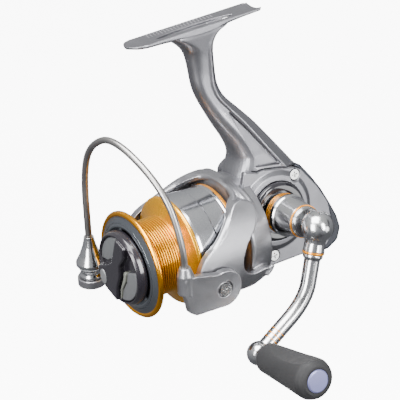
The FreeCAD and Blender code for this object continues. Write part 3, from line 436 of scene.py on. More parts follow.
edgeWearAndHighlightRange = (0.515, 0.60)           # where the lighter raised edges, partly edge wear and partly painted highlight, begin and are full
onSpool = (spoolAxis, along)
onCrank = (crankAxis, right)
recipes = {
    # castSatin and rotorSilver lighten their raised edges: partly edge wear, partly painted highlight
    "castSatin": {"light": (0.235, 0.235, 0.25), "dark": (0.165, 0.165, 0.18), "edgeWearAndHighlight": (0.40, 0.40, 0.42),
                  "metal": 0.9, "rough": (0.30, 0.42), "grainSize": 0.16, "grainDepth": 0.006, "coat": 0.15},
    "castDark": {"light": (0.036, 0.038, 0.046), "dark": (0.022, 0.024, 0.030), "metal": 0.85,
                 "rough": (0.32, 0.44), "grainSize": 0.16, "grainDepth": 0.006, "coat": 0.15},
    "rotorSilver": {"light": (0.31, 0.31, 0.325), "dark": (0.235, 0.235, 0.25), "edgeWearAndHighlight": (0.46, 0.46, 0.48),
                    "metal": 0.9, "rough": (0.28, 0.38), "grainSize": 0.14, "grainDepth": 0.006, "coat": 0.2},
    "goldAnodised": {"light": (1.0, 0.44, 0.012), "dark": (0.92, 0.36, 0.008), "metal": 1.0,
                     "rough": (0.16, 0.27), "lines": onSpool, "lineSize": 0.16, "lineDepth": 0.003},
    # the arbor's groove bottoms get painted shade
    "goldArbor": {"light": (0.88, 0.43, 0.008), "dark": (0.78, 0.36, 0.006), "metal": 0.82,
                  "rough": (0.16, 0.26), "lines": onSpool, "lineSize": 0.16, "lineDepth": 0.003,
                  "grooveShadeColour": (0.14, 0.045, 0.001), "grooves": (spoolAxis, along, 12.85, 13.35)},
    "skirtSilver": {"light": (0.58, 0.59, 0.61), "dark": (0.49, 0.50, 0.52), "metal": 1.0,
                    "rough": (0.13, 0.21), "lines": onSpool, "lineSize": 0.22, "lineDepth": 0.002},
    "plateGrey": {"light": (0.115, 0.125, 0.14), "dark": (0.09, 0.10, 0.112), "metal": 0.8,
                  "rough": (0.28, 0.38), "lines": onSpool, "lineSize": 0.12, "lineDepth": 0.003},
    "plateBright": {"light": (0.34, 0.36, 0.38), "dark": (0.27, 0.29, 0.31), "metal": 1.0,
                    "rough": (0.12, 0.20), "lines": onSpool, "lineSize": 0.15, "lineDepth": 0.002},
    "chrome": {"light": (0.60, 0.605, 0.61), "dark": (0.53, 0.535, 0.54), "metal": 1.0,
               "rough": (0.14, 0.23), "lines": onCrank, "lineSize": 0.3, "lineDepth": 0.0012},
    "wireSteel": {"light": (0.40, 0.39, 0.375), "dark": (0.33, 0.32, 0.31), "metal": 1.0,
                  "rough": (0.27, 0.36), "grainSize": 0.3, "grainDepth": 0.002},
    "screwSteel": {"light": (0.72, 0.72, 0.71), "dark": (0.58, 0.58, 0.57), "metal": 1.0,
                   "rough": (0.15, 0.28), "grainSize": 0.25},
    "orangeAccent": {"light": (0.90, 0.36, 0.012), "dark": (0.76, 0.26, 0.008), "metal": 0.75,
                     "rough": (0.2, 0.32), "grainSize": 0.3, "grainDepth": 0.002, "coat": 0.3},
    "blackGloss": {"light": (0.010, 0.009, 0.012), "dark": (0.006, 0.006, 0.008),
                   "rough": (0.06, 0.13), "grainSize": 0.5, "grainDepth": 0.001, "coat": 1.0,
                   "coatRough": 0.04},
    "knobCharcoal": {"light": (0.016, 0.014, 0.018), "dark": (0.010, 0.009, 0.012), "metal": 0.2,
                     "rough": (0.16, 0.26), "grainSize": 0.2, "grainDepth": 0.002, "coat": 0.5,
                     "coatRough": 0.08},
    "inlayGrey": {"light": (0.17, 0.175, 0.18), "dark": (0.135, 0.14, 0.145), "metal": 0.5,
                  "rough": (0.3, 0.42), "grainSize": 0.12, "grainDepth": 0.003, "coat": 0.2},
    "inlaySmoke": {"light": (0.155, 0.16, 0.135), "dark": (0.10, 0.105, 0.088), "metal": 0.1,
                   "rough": (0.08, 0.16), "grainSize": 0.8, "grainDepth": 0.002, "coat": 1.0,
                   "coatRough": 0.05},
    "buttonGrey": {"light": (0.27, 0.275, 0.28), "dark": (0.215, 0.22, 0.225), "metal": 0.6,
                   "rough": (0.28, 0.4), "grainSize": 0.12, "grainDepth": 0.003},
    "gripRubber": {"light": (0.009, 0.009, 0.010), "dark": (0.005, 0.005, 0.006),
                   "rough": (0.62, 0.8), "grainSize": 0.22, "grainDepth": 0.02, "bump": 0.8, "sheen": 0.04},
    "capBlue": {"light": (0.20, 0.205, 0.38), "dark": (0.16, 0.165, 0.32), "metal": 0.55,
                "rough": (0.3, 0.42), "grainSize": 0.14, "coat": 0.2},
    "brass": {"light": (0.50, 0.35, 0.12), "dark": (0.38, 0.26, 0.08), "metal": 1.0,
              "rough": (0.25, 0.4), "grainSize": 0.3},
    "steel": {"light": (0.36, 0.36, 0.37), "dark": (0.27, 0.27, 0.28), "metal": 1.0,
              "rough": (0.2, 0.34), "grainSize": 0.3, "grainDepth": 0.003},
    "zinc": {"light": (0.34, 0.34, 0.33), "dark": (0.25, 0.25, 0.245), "metal": 0.9,
             "rough": (0.38, 0.5), "grainSize": 0.25, "grainDepth": 0.008},
    "felt": {"light": (0.30, 0.27, 0.22), "dark": (0.18, 0.16, 0.13),
             "rough": (0.85, 0.95), "grainSize": 0.2, "grainDepth": 0.05, "bump": 1.0, "sheen": 0.4},
    "nylon": {"light": (0.55, 0.55, 0.52), "dark": (0.47, 0.47, 0.44),
              "rough": (0.4, 0.5), "grainSize": 0.3},
    "clearRing": {"light": (0.62, 0.64, 0.66), "dark": (0.52, 0.54, 0.56), "rough": (0.12, 0.2),
                  "grainDepth": 0.002, "coat": 1.0, "coatRough": 0.05},
}
for finishName, recipe in recipes.items():
    makeFinish(finishName, recipe)
print("finishes", len(finishes))


def dress(piece, body, finish, slot, *replaced):
    piece.data.materials.clear()
    piece.data.materials.append(finishes[finish])
    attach(piece, body)
    if replaced:
        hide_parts(*replaced)
    return piece


# foot, stem and gear case

castBody = {
    "footLength": 52.0, "footHalf": 5.7, "troughDepth": 0.9,
    "footEdge": [(-26, 1.0), (-20, 1.5), (-14, 1.8), (-8, 2.3), (0, 2.9), (7, 2.6), (12, 1.8),
                 (18, 1.3), (26, 1.0)],
    "stemFront": [(-2, -10.5), (-4.8, -7.0), (-7.9, -4.4), (-11.7, -3.4), (-20.7, -2.9), (-25.6, -1.7),
                  (-31.3, 0.65), (-37, 3.4), (-43.3, 6.8), (-47.6, 8.5), (-50.6, 8.6),
                  (-54.5, 6.4), (-60, 4.0)],
    "stemRear": [(-2, 12.0), (-3.4, 8.6), (-5, 6.8), (-7, 5.7), (-9, 5.3), (-12.9, 5.2), (-17.8, 5.2),
                 (-22, 5.5), (-26.8, 7.4), (-32.6, 12.1), (-38, 16.4), (-44.5, 20.8),
                 (-51.2, 25.2), (-60, 31.0)],
    "stemHalf": [(-2, 5.66), (-3.5, 5.5), (-7, 5.05), (-12, 4.5), (-20, 4.2), (-30, 4.9), (-38, 6.6),
                 (-46, 8.4), (-52, 9.5), (-60, 10.2)],
    "strip": [(-2, 1.2), (-15, 1.4), (-25, 2.2), (-35, 3.4), (-50, 4.6), (-60, 4.8)],
    "case": [(11.0, -14.5, 3.5), (36.0, -14.5, 3.0), (41.0, -7.5, 3.0), (39.6, 1.5, 6.0), (36.2, 8.5, 8.0),
             (29.0, 18.6, 4.0), (24.0, 21.5, 4.0), (12.0, 22.0, 4.0), (7.5, 19.5, 4.0), (8.0, 11.5, 2.0)],
    "hollow": [(13.0, -12.7, 1.5), (35.2, -12.7, 1.5), (38.0, -7.0, 1.5), (36.8, 1.2, 2), (33.4, 7.6, 2),
               (27.2, 15.4, 2), (22.0, 17.0, 1), (12.0, 18.2, 1), (10.8, 11.5, 1)],
    "recessCorners": [(6.9, -31.5), (10.6, -43), (13.0, -50.2), (12.4, -53.6), (22.6, -55.2), (19.6, -51.0),
                      (13.2, -40.6)],
    "recess": 2.5, "pocket": (2.1, 15.5, 1.5), "ridges": 20, "ridgePitch": 1.35, "ridgeStart": -15,
    "left": -11.0, "split": 7.95, "past": 14, "wall": 1.6, "seam": 0.22, "grain": 0.24,
    "neckRadius": 17.8, "neckFront": 1.4,
}


def footSection(y):
    half = castBody["footHalf"]
    end = castBody["footLength"] / 2
    lead = half * 1.05 if y < 0 else half * 0.2
    over = max(0.0, abs(y) - (end - lead)) / lead
    half *= max(0.12 if y < 0 else 0.8, math.sqrt(max(0.0, 1 - over ** 2.3)))
    deep = eased(castBody["footEdge"], y)
    top = []
    for step in range(9):
        share = step / 4 - 1
        top.append((half * share, -castBody["troughDepth"] * (1 - share * share) * min(1, half / 4)))
    ease = min(0.7, deep * 0.4)
    lower = [(half, -0.25), (half, -deep + ease), (half - ease, -deep), (half * 0.4, -deep - 0.5 * ease)]
    mirror = [(-x, z) for x, z in reversed(lower)]
    return [Vector((x, y, z)) for x, z in top + lower + mirror]


def stemSection(z):
    front = eased(castBody["stemFront"], z)
    rear = eased(castBody["stemRear"], z)
    half = eased(castBody["stemHalf"], z)
    strip = eased(castBody["strip"], z)
    column = half - 0.55 * min(1, max(0, (-3 - z) / 14))
    nose = min(column * 1.1, 0.6 * (rear - front - strip)) * min(1, 0.45 + max(0, -3 - z) / 12)
    outline = []
    for step in range(11):
        turn = math.pi / 2 * step / 10
        outline.append((column * math.sin(turn) ** 0.85, front + nose * (1 - math.cos(turn) ** 0.85)))
    outline += [(column, rear - strip - 1.3), (half, rear - strip - 0.5), (half, rear - strip)]
    outline += [(half - strip * 0.75, rear), (half * 0.3, rear)]
    mirror = [(-x, y) for x, y in reversed(outline[1:])]
    return [Vector((x, y, z)) for x, y in outline + mirror]


def recessCutter(side):
    # three-cornered hollow in the flank of the stem, above the side cover
    corners = castBody["recessCorners"]
    inner = [Vector((side * (eased(castBody["stemHalf"], z) - castBody["recess"]), y, z)) for y, z in corners]
    outer = [Vector((side * 20, y, z)) for y, z in corners]
    return prism("recess", inner, outer)


def grown(outline, gap):
    # outline moved outward by gap, corner by corner
    count = len(outline)
    area = sum(outline[k][0] * outline[(k + 1) % count][1] - outline[(k + 1) % count][0] * outline[k][1]
               for k in range(count))
    side = 1 if area > 0 else -1
    moved = []
    for k in range(count):
        before, here, after = (Vector(outline[(k + step) % count][:2]) for step in (-1, 0, 1))
        first = (here - before).normalized()
        second = (after - here).normalized()
        normal = (Vector((first.y, -first.x)) + Vector((second.y, -second.x))) * side
        normal.normalize()
        share = max(0.5, normal.dot(Vector((first.y, -first.x)) * side))
        place = here + normal * gap / share
        moved.append((place.x, place.y, outline[k][2]))
    return moved


def seatRidges():
    # fine cross ridges on the far half of the rod seat's top
    parts = []
    outer = -castBody["footHalf"] + 0.5
    for index in range(castBody["ridges"]):
        y = castBody["ridgeStart"] + castBody["ridgePitch"] * index
        parts.append(rodBetween("ridge", Vector((outer, y, -0.12)), Vector((-2.7, y, -0.78)), 0.2, 10))
    return parts


def lensPocket():
    halfWidth, halfLength, middleY = castBody["pocket"]
    turns = [2 * math.pi * step / 24 for step in range(24)]
    loop = [(halfWidth * math.sin(turn), middleY + halfLength * math.cos(turn)) for turn in turns]
    return prism("pocket", [Vector((x, y, -2.0)) for x, y in loop], [Vector((x, y, 2.0)) for x, y in loop])


def keepBetween(piece, x0, x1):
    # trims a turned piece to the flat sides of the case
    flats = plateBetween("flats", [(-5, -25, 0), (25, -25, 0), (25, 25, 0), (-5, 25, 0)], x0, x1)
    trim = piece.modifiers.new("trim", "BOOLEAN")
    trim.operation = "INTERSECT"
    trim.object = flats
    applyModifiers(piece)
    bpy.data.objects.remove(flats)


def makeBody():
    end = castBody["footLength"] / 2
    left, split, wall = castBody["left"], castBody["split"], castBody["wall"]
    ys = ([-end, -end + 0.3, -end + 0.9, -end + 1.8] + [-23.5 + 1.0 * k for k in range(48)]
          + [end - 0.9, end - 0.3, end])
    foot = lofted("foot", [footSection(y) for y in sorted(set(ys))])
    stem = lofted("stem", [stemSection(-2.2 - 1.0 * k) for k in range(57)])
    case = plateBetween("case", castBody["case"], left, split, 1.6)
    neckPlace, radius, past = fromAxis(castBody["neckFront"], 0), castBody["neckRadius"], castBody["past"]
    neck = turned("neck", [(0, 0, 0), (0, radius, 1.2), (13, radius, 0.5), (13, 0, 0)], neckPlace, along)
    keepBetween(neck, left, split)
    nose = turned("nose", [(-2.4, 0, 0), (-2.4, 6.4, 0.3), (0.6, 6.4, 0), (0.6, 0, 0)], neckPlace, along)
    body = joined("reelBody", [foot, stem, case, neck, nose])
    hollow = plateBetween("hollow", castBody["hollow"], left + wall, past)
    neckHollow = turned("neckHollow", [(0, 0, 0), (0, 16.0, 0), (11.5, 16.0, 0), (11.5, 0, 0)],
                        fromAxis(castBody["neckFront"] + wall, 0), along)
    keepBetween(neckHollow, left + wall, past)
    bore = turned("bore", [(-3, 0, 0), (-3, 5.1, 0), (3, 5.1, 0), (3, 0, 0)], neckPlace, along, 64)
    cutAway(body, [hollow, neckHollow, bore])
    cutAway(body, [recessCutter(1), recessCutter(-1), lensPocket()])
    seam = grown(sideShell["outline"], castBody["seam"])
    cutAway(body, [plateBetween("seam", seam, sideShell["inner"] - 0.1, past)])
    castSkin(body, castBody["grain"], 3)
    body = joined("reelBody", [body] + seatRidges())
    return dress(body, "frame", "castSatin", "cast_satin", "body_frame")


sideShell = {
    "outline": [(9.9, -14.5, 3.0), (36.0, -14.5, 2.0), (39.6, -9.0, 3.0), (38.9, 1.2, 5.0), (35.4, 8.2, 6.0),
                (29.6, 16.6, 1.2), (26.5, 18.0, 2.0), (19.0, 19.7, 5.0), (14.5, 20.6, 2.5), (12.0, 20.3, 1.5),
                (9.0, 21.4, 2.5), (6.6, 22.2, 0.6), (5.2, 18.0, 3.0), (5.0, 8.0, 6.0), (8.4, -6.0, 6.0)],
    "inner": 8.05, "outer": 10.2, "bossRadius": 15.0, "bossFace": 11.4,
    "screws": [(26.6, 15.2), (14.0, -11.1), (35.5, -10.5)], "screwSink": 2.0,
}

reelBody = makeBody()
print("body", len(reelBody.data.polygons))


def makeSideCover():
    inner, outer = sideShell["inner"], sideShell["outer"]
    sheet = plateBetween("sheet", sideShell["outline"], inner, outer, 0.8)
    wide, face = sideShell["bossRadius"], sideShell["bossFace"]
    boss = turned("boss", [(inner, 0, 0), (inner, 14.6, 0), (9.6, wide, 0.5), (11.3, 12.6, 0.4),
                           (face, 10.7, 0.2), (face, 0, 0)], crankCentre, right)
    cover = joined("sideCover", [sheet, boss])
    cuts = [turned("bowl", [(10.75, 0, 0), (10.75, 10.62, 0), (13, 10.62, 0), (13, 0, 0)],
                   crankCentre, right),
            turned("bore", [(7, 0, 0), (7, 5.7, 0), (13, 5.7, 0), (13, 0, 0)], crankCentre, right)]
    sink = sideShell["screwSink"]
    for y, height in sideShell["screws"]:
        cuts.append(turned("sink", [(9.2, 0, 0), (9.2, sink, 0), (10.4, sink + 0.1, 0), (13, sink + 1.2, 0),
                                    (13, 0, 0)], fromAxis(y, height), right, 48))
    cutAway(cover, cuts)
    castSkin(cover, 0.2, 3)
    return dress(cover, "frame", "castSatin", "cast_satin", "side_cover")


rearShell = {
    "outer": [(29.0, 18.6), (33.2, 12.6), (36.6, 6.8), (39.4, 0.6), (41.6, -5.0), (42.4, -9.6), (40.6, -13.8),
              (36.4, -15.9), (30.2, -15.9)],
    "inner": [(29.6, -13.2), (35.6, -13.2), (39.2, -8.8), (38.4, -1.0), (36.0, 5.6),
              (32.0, 11.6), (26.9, 18.4)],
    "half": 10.2, "screwHeight": -12.5,
}


def makeRearCover():
    half, height = rearShell["half"], rearShell["screwHeight"]
    loop = [(y, h, 3.0) for y, h in rearShell["outer"]] + [(y, h, 2.0) for y, h in rearShell["inner"]]
    shell = plateBetween("rearCover", loop, -half, half, 1.0)
    cutAway(shell, [rodBetween("hole", fromAxis(36, height), fromAxis(46, height), 1.0, 32)])
    castSkin(shell, 0.25, 4)
    return dress(shell, "frame", "castDark", "cast_dark", "rear_cover")


def makeBossRing():
    ring = turned("bossRing", [(10.92, 7.6, 0), (10.92, 10.5, 0.1), (12.8, 10.3, 0.5), (13.3, 9.4, 0.3),
                               (13.3, 7.6, 0.2)], crankCentre, right)
    dress(ring, "frame", "blackGloss", "black_gloss", "crank_boss_ring")


def makeLeftCap():
    cap = turned("leftScrewCap", [(-12.6, 0, 0), (-12.6, 4.9, 0.4), (-11.9, 6.0, 0.3), (-11.02, 6.0, 0),
                                  (-11.02, 0, 0)], crankCentre, right)
    low, high = -4.6 + crankAxis.y, 4.6 + crankAxis.y
    cutAway(cap, [plateBetween("coinSlot", [(low, 4.4, 0), (high, 4.4, 0), (high, 5.6, 0), (low, 5.6, 0)],
                               -14, -11.9)])
    softenShading(cap)
    dress(cap, "frame", "chrome", "chrome", "left_screw_cap")


makeSideCover()
makeRearCover()
makeBossRing()
makeLeftCap()
print("case covers")

# rotor and bail

rotorShape = {
    "grain": 0.26, "rounds": 6, "beadRadius": 0.9, "railRadius": 1.5, "armMiddle": 21.9,
    "nub": [(3.4, -8.4), (5.4, -7.0), (6.2, -5.4)],
    # angle from straight up, distance from the axis and y, from the ring's top to the arm's end
    "rail": [(-4, 19.4, 0.9), (16, 19.5, 0.8), (30, 20.4, -0.6), (41, 21.4, -4.0), (52, 21.6, -8.2),
             (64, 21.7, -13.0), (74, 21.7, -18.6), (82, 21.7, -21.6)],
    "ramp": [(6, 18.8), (22, 19.8), (34, 21.2), (44, 21.6)], "rampPlaces": (1.6, 3.0),
}


def aroundRotor(side, turn, radius, y):
    # a point at an angle from straight up, towards one of the arms
    angle = math.radians(turn)
    return inRotor(side * radius * math.sin(angle), y, radius * math.cos(angle))


def makeRotor():
    parts = [nodeCopy("rotorSkin", "rotor")]
    thick = rotorShape["railRadius"]
    for side in (1, -1):
        nub = [inRotor(side * rotorShape["armMiddle"], y, up) for y, up in rotorShape["nub"]]
        parts.append(sweptTube("nub", easedLine(nub, 6), lambda t: rotorShape["beadRadius"], 16))
        # the ring's front edge runs on into the front edge of the arm
        rail = [aroundRotor(side, turn, radius, y) for turn, radius, y in rotorShape["rail"]]
        parts.append(sweptTube("rail", easedLine(rail, 8),
                               lambda t: thick * (0.8 + 0.2 * math.sin(math.pi * t)), 16))
        for y in rotorShape["rampPlaces"]:
            ramp = [aroundRotor(side, turn, radius, y) for turn, radius in rotorShape["ramp"]]
            parts.append(sweptTube("ramp", easedLine(ramp, 8), lambda t: thick, 16))
    rotor = joined("rotorSkin", parts)
    castSkin(rotor, rotorShape["grain"], rotorShape["rounds"])
    return dress(rotor, "rotor_group", "rotorSilver", "rotor_silver", "rotor")


rotorSkin = makeRotor()
print("rotor", len(rotorSkin.data.polygons))


def makeLever(name, node):
    lever = nodeCopy(name, node)
    castSkin(lever, 0.2, 6)
    dress(lever, "bail", "rotorSilver", "rotor_silver", node)


makeLever("bailHolder", "bail_holder")
makeLever("bailLever", "bail_lever")

bail = {"wireRadius": 1.2, "half": 23.6, "height": 44.0, "socketUp": 7.5, "middleY": -34.9, "lean": 0.19,
        "coneTop": 1.5, "coneHeight": 10.2, "coneRadius": 5.1, "rollerRadius": 4.2}


def bailPoint(across, up):
    return inRotor(across, bail["middleY"] + bail["lean"] * across, up)


def makeBail():
    half, height = bail["half"], bail["height"]
    corners = [bailPoint(half, bail["socketUp"] - 2.5), bailPoint(half - 0.3, height * 0.35),
               bailPoint(half * 0.70, height * 0.76), bailPoint(-0.30 * half, height + 2.0),
               bailPoint(-0.83 * half, height * 0.885), bailPoint(-half - 0.3, height * 0.59),
               bailPoint(-half, bail["coneTop"] + 0.2)]
    wire = sweptTube("bailWire", easedLine(corners, 14), lambda t: bail["wireRadius"], 32)
    dress(wire, "bail", "wireSteel", "chrome", "bail_wire")
    foot = inRotor(-half, bailPoint(-half, 0).y, 0)
    base = bail["coneTop"] - bail["coneHeight"]
    wide, tip = bail["coneRadius"], bail["coneTop"]
    cone = turned("bailCone", [(base - 1.2, 1.3, 0), (base - 1.2, wide - 0.5, 0.1), (base - 0.7, wide, 0.2),
                               (base + 0.4, wide, 0.5), (base + 3.0, wide - 1.3, 2.0), (base + 6.5, 2.5, 3.0),
                               (tip - 0.8, 1.85, 1.0), (tip, 1.75, 0.1), (tip, 0, 0), (base + 3, 0, 0),
                               (base + 3, 1.3, 0)], foot, rotorZ, 96)
    dress(cone, "bail", "chrome", "chrome", "bail_cone")
    top = base - 1.2
    collar = turned("coneCollar", [(top - 0.24, 2.1, 0), (top - 0.24, wide - 0.6, 0.1),
                                   (top - 0.02, wide - 0.35, 0.1), (top - 0.02, 2.1, 0)], foot, rotorZ, 96)
    dress(collar, "bail", "clearRing", "nylon")
    low, high = top - 4.1, top - 0.3
    edge = bail["rollerRadius"]
    wheel = turned("lineRoller", [(low, 2.0, 0), (low, edge, 0.2), (low + 0.7, edge - 0.05, 0.4),
                                  ((low + high) / 2, edge - 0.75, 1.2), (high - 0.7, edge - 0.05, 0.4),
                                  (high, edge, 0.2), (high, 2.0, 0)], foot, rotorZ, 96)
    dress(wheel, "roller", "chrome", "chrome", "line_roller")


makeBail()
print("bail")

# spool

spoolShape = {"lipFront": -37.6, "lipRear": -35.6, "arborRadius": 13.4, "flangeFront": -21.6,
              "flangeRadius": 19.4, "ridges": 11, "ridgeHeight": 0.08, "grooveDepth": 0.6}


def makeSpool():
    front, rear = spoolShape["lipFront"], spoolShape["lipRear"]
    arbor, flange = spoolShape["arborRadius"], spoolShape["flangeRadius"]
    face, crest = spoolShape["flangeFront"], arbor + spoolShape["ridgeHeight"]
    corners = [(rear - 0.2, 17.3, 0), (rear + 0.5, 17.2, 0.3), (rear + 1.5, arbor + 0.5, 0.6)]
    start, stop = rear + 1.9, face - 2.0
    pitch = (stop - start) / spoolShape["ridges"]
    for index in range(spoolShape["ridges"]):
        y = start + pitch * index
        corners += [(y, arbor - spoolShape["grooveDepth"], 0.05), (y + pitch * 0.3, crest, 0.2),
                    (y + pitch * 0.7, crest, 0.2)]
    corners += [(stop, arbor - 0.1, 0.8), (face - 0.9, 16.2, 1.5), (face + 0.1, flange - 0.5, 0.5),
                (face + 0.9, flange, 0.4), (face + 1.58, flange - 0.2, 0.2), (face + 1.58, 4.2, 0),
                (-18.0, 4.2, 0), (-18.0, 1.9, 0), (-28.6, 1.9, 0), (-28.6, 9.2, 0), (rear - 0.2, 9.2, 0)]
    arborPiece = turned("spoolArbor", corners, spoolCentre, along, 160, 3)
    dress(arborPiece, "spool_group", "goldArbor", "gold_anodised", "spool")
    lip = turned("spoolLip", [(front + 0.25, 17.42, 0), (front - 0.02, 17.9, 0.3), (front + 0.1, 18.6, 0.5),
                              (front + 0.9, 19.2, 0.7), (rear - 0.3, 19.0, 0.4), (rear - 0.22, 17.42, 0)],
                 spoolCentre, along, 160, 5)
    dress(lip, "spool_group", "goldAnodised", "gold_anodised", "spool_lip")
    plate = turned("frontPlate", [(front - 0.75, 15.35, 0.05), (front + 0.12, 17.0, 0.1),
                                  (front + 0.2, 17.38, 0.05), (rear - 0.22, 17.38, 0),
                                  (rear - 0.22, 15.3, 0)], spoolCentre, along, 160)
    dress(plate, "spool_group", "plateGrey", "plate_grey")
    bevel = turned("frontBevel", [(front - 1.0, 13.9, 0.1), (front - 1.0, 14.45, 0.15),
                                  (front - 0.72, 15.28, 0.1), (rear - 0.22, 15.28, 0),
                                  (rear - 0.22, 9.4, 0), (rear - 0.8, 9.4, 0), (rear - 0.8, 13.9, 0)],
                   spoolCentre, along, 160)
    dress(bevel, "spool_group", "plateBright", "plate_grey", "spool_front_plate")
    begin = face + 1.62
    skirt = turned("spoolSkirt", [(begin, 17.0, 0), (begin, 18.6, 0.3), (begin + 1.2, 18.75, 0.5),
                                  (begin + 7.6, 18.6, 0.3), (begin + 8.2, 18.35, 0.25), (-5.4, 18.25, 0.2),
                                  (-4.9, 18.45, 0.2), (-4.2, 18.45, 0.15), (-4.2, 17.1, 0)],
                   spoolCentre, along, 160)
    dress(skirt, "spool_group", "skirtSilver", "skirt_silver", "spool_skirt")
    ring = turned("skirtAccent", [(-4.18, 17.2, 0), (-4.18, 18.4, 0.1), (-3.1, 18.4, 0.3), (-2.8, 18.0, 0.2),
                                  (-2.8, 17.2, 0)], spoolCentre, along, 160)
    dress(ring, "spool_group", "orangeAccent", "orange_accent", "skirt_accent_ring")


makeSpool()
print("spool")

# drag knob

dragShape = {
    "radius": 13.3, "back": -38.6, "rim": -42.2, "floor": -41.2, "barFront": -43.5, "turn": 24,
    "inlayRadius": 11.3,
    "bar": [(-2.3, 12.0, 0.8), (3.1, 11.8, 0.8), (3.6, 7.5, 3), (1.8, 3.2, 3), (2.7, -1.0, 3), (1.9, -6.5, 3),
            (2.8, -12.0, 0.8), (-5.0, -11.4, 1.5), (-10.4, -7.6, 1.5), (-10.2, -5.4, 1.2), (-6.6, -2.6, 3),
            (-3.2, 1.0, 3), (-2.7, 6.0, 3)],
    "smoked": [(3.3, 1.8, 0.8), (4.9, 1.9, 0.6), (5.0, -1.8, 2), (3.6, -6.2, 1.5), (3.7, -10.4, 0.6),
               (3.2, -10.6, 0.5), (2.6, -6.4, 2), (3.6, -1.2, 2)],
    "buttonPlace": (-8.9, -4.4), "buttonHalf": (1.85, 2.75),
}


def knobPoint(across, y, up):
    turn = math.radians(dragShape["turn"])
    return fromAxis(y, -across * math.sin(turn) + up * math.cos(turn),
                    across * math.cos(turn) + up * math.sin(turn))


def knobPlate(name, outline, y0, y1, bevel):
    # outline holds (across, up, rounding) on the knob's face
    loop = filleted(outline, 5)
    made = prism(name, [knobPoint(across, y0, up) for across, up in loop],
                 [knobPoint(across, y1, up) for across, up in loop])
    roundEdges(made, bevel, 40)
    return softenShading(made)


def arcPoints(radius, start, end, count):
    turns = [math.radians(start + (end - start) * k / (count - 1)) for k in range(count)]
    return [(radius * math.sin(t), radius * math.cos(t), 0) for t in turns]


def makeDragKnob():
    radius, back, rim = dragShape["radius"], dragShape["back"], dragShape["rim"]
    floor, top, outer = dragShape["floor"], dragShape["barFront"], dragShape["inlayRadius"]
    cup = turned("knobCup", [(back, 10.0, 0), (back, radius - 0.1, 0.3), (back - 1.2, radius, 0.5),
                             (rim + 0.9, radius - 0.2, 1.0), (rim - 0.2, radius - 1.0, 0.4),
                             (rim, radius - 1.4, 0.2), (floor, radius - 1.7, 0.2), (floor, 0, 0),
                             (-39.2, 0, 0), (-39.2, 10.0, 0)],
                 spoolCentre, along, 128)
    bar = knobPlate("knobBar", dragShape["bar"], top, -40.5, 0.7)
    knob = joined("dragKnob", [cup, bar])
    stub = turned("stub", [(-39.6, 1.4, 0), (-39.6, 5.0, 0.2), (-34.0, 5.0, 0.2), (-34.0, 1.4, 0)],
                  spoolCentre, along, 64)
    knob = joined("dragKnob", [knob, stub])
    castSkin(knob, 0.16, 3)
    dress(knob, "drag_control", "knobCharcoal", "charcoal", "drag_knob")
    left = arcPoints(outer, -20, -106, 14) + [(-7.4, -1.6, 1.2), (-4.5, 1.6, 1.5), (-3.7, 6.0, 1.5)]
    far = arcPoints(outer, 60, 160, 14) + [(3.9, -6.4, 1.5), (5.4, -1.8, 2.0), (5.2, 2.4, 1.5)]
    for name, outline, height, bevel, finish in (("leftInlay", left, 0.55, 0.2, "inlayGrey"),
                                                 ("rightInlay", far, 0.9, 0.3, "inlayGrey"),
                                                 ("smokedInlay", dragShape["smoked"], 1.2,
                                                  0.25, "inlaySmoke")):
        inlay = knobPlate(name, outline, floor - height, floor + 0.2, bevel)
        dress(inlay, "drag_control", finish, "button_grey")
    lean = math.radians(dragShape["turn"])
    halfWide, halfHigh = dragShape["buttonHalf"]
    button = []
    for step in range(20):
        turn = 2 * math.pi * step / 20
        across = dragShape["buttonPlace"][0] + halfWide * math.cos(turn)
        up = dragShape["buttonPlace"][1] + halfHigh * math.sin(turn)
        button.append((across * math.cos(lean) - up * math.sin(lean),
                       across * math.sin(lean) + up * math.cos(lean), 0))
    pad = knobPlate("knobButton", button, top - 0.25, top + 0.5, 0.12)
    dress(pad, "drag_control", "buttonGrey", "button_grey", "drag_knob_button")


makeDragKnob()
print("drag knob")

# crank

crankShape = {"lean": 20, "bend": 25.6, "tubeRadius": 2.8, "tubeEnd": 2.7, "ballRadius": 4.3,
              "kneeRadius": 5.7, "bands": (14.5, 15.4, 16.3), "armBands": (14.6, 16.4, 18.2)}
lean = math.radians(crankShape["lean"])
armDown = Vector((0, -math.sin(lean), -math.cos(lean)))


def ballCorners(radius, steps):
    turns = [math.pi * step / steps for step in range(steps + 1)]
    return [(-radius * math.cos(turn), max(0.0, radius * math.sin(turn)), 0) for turn in turns]


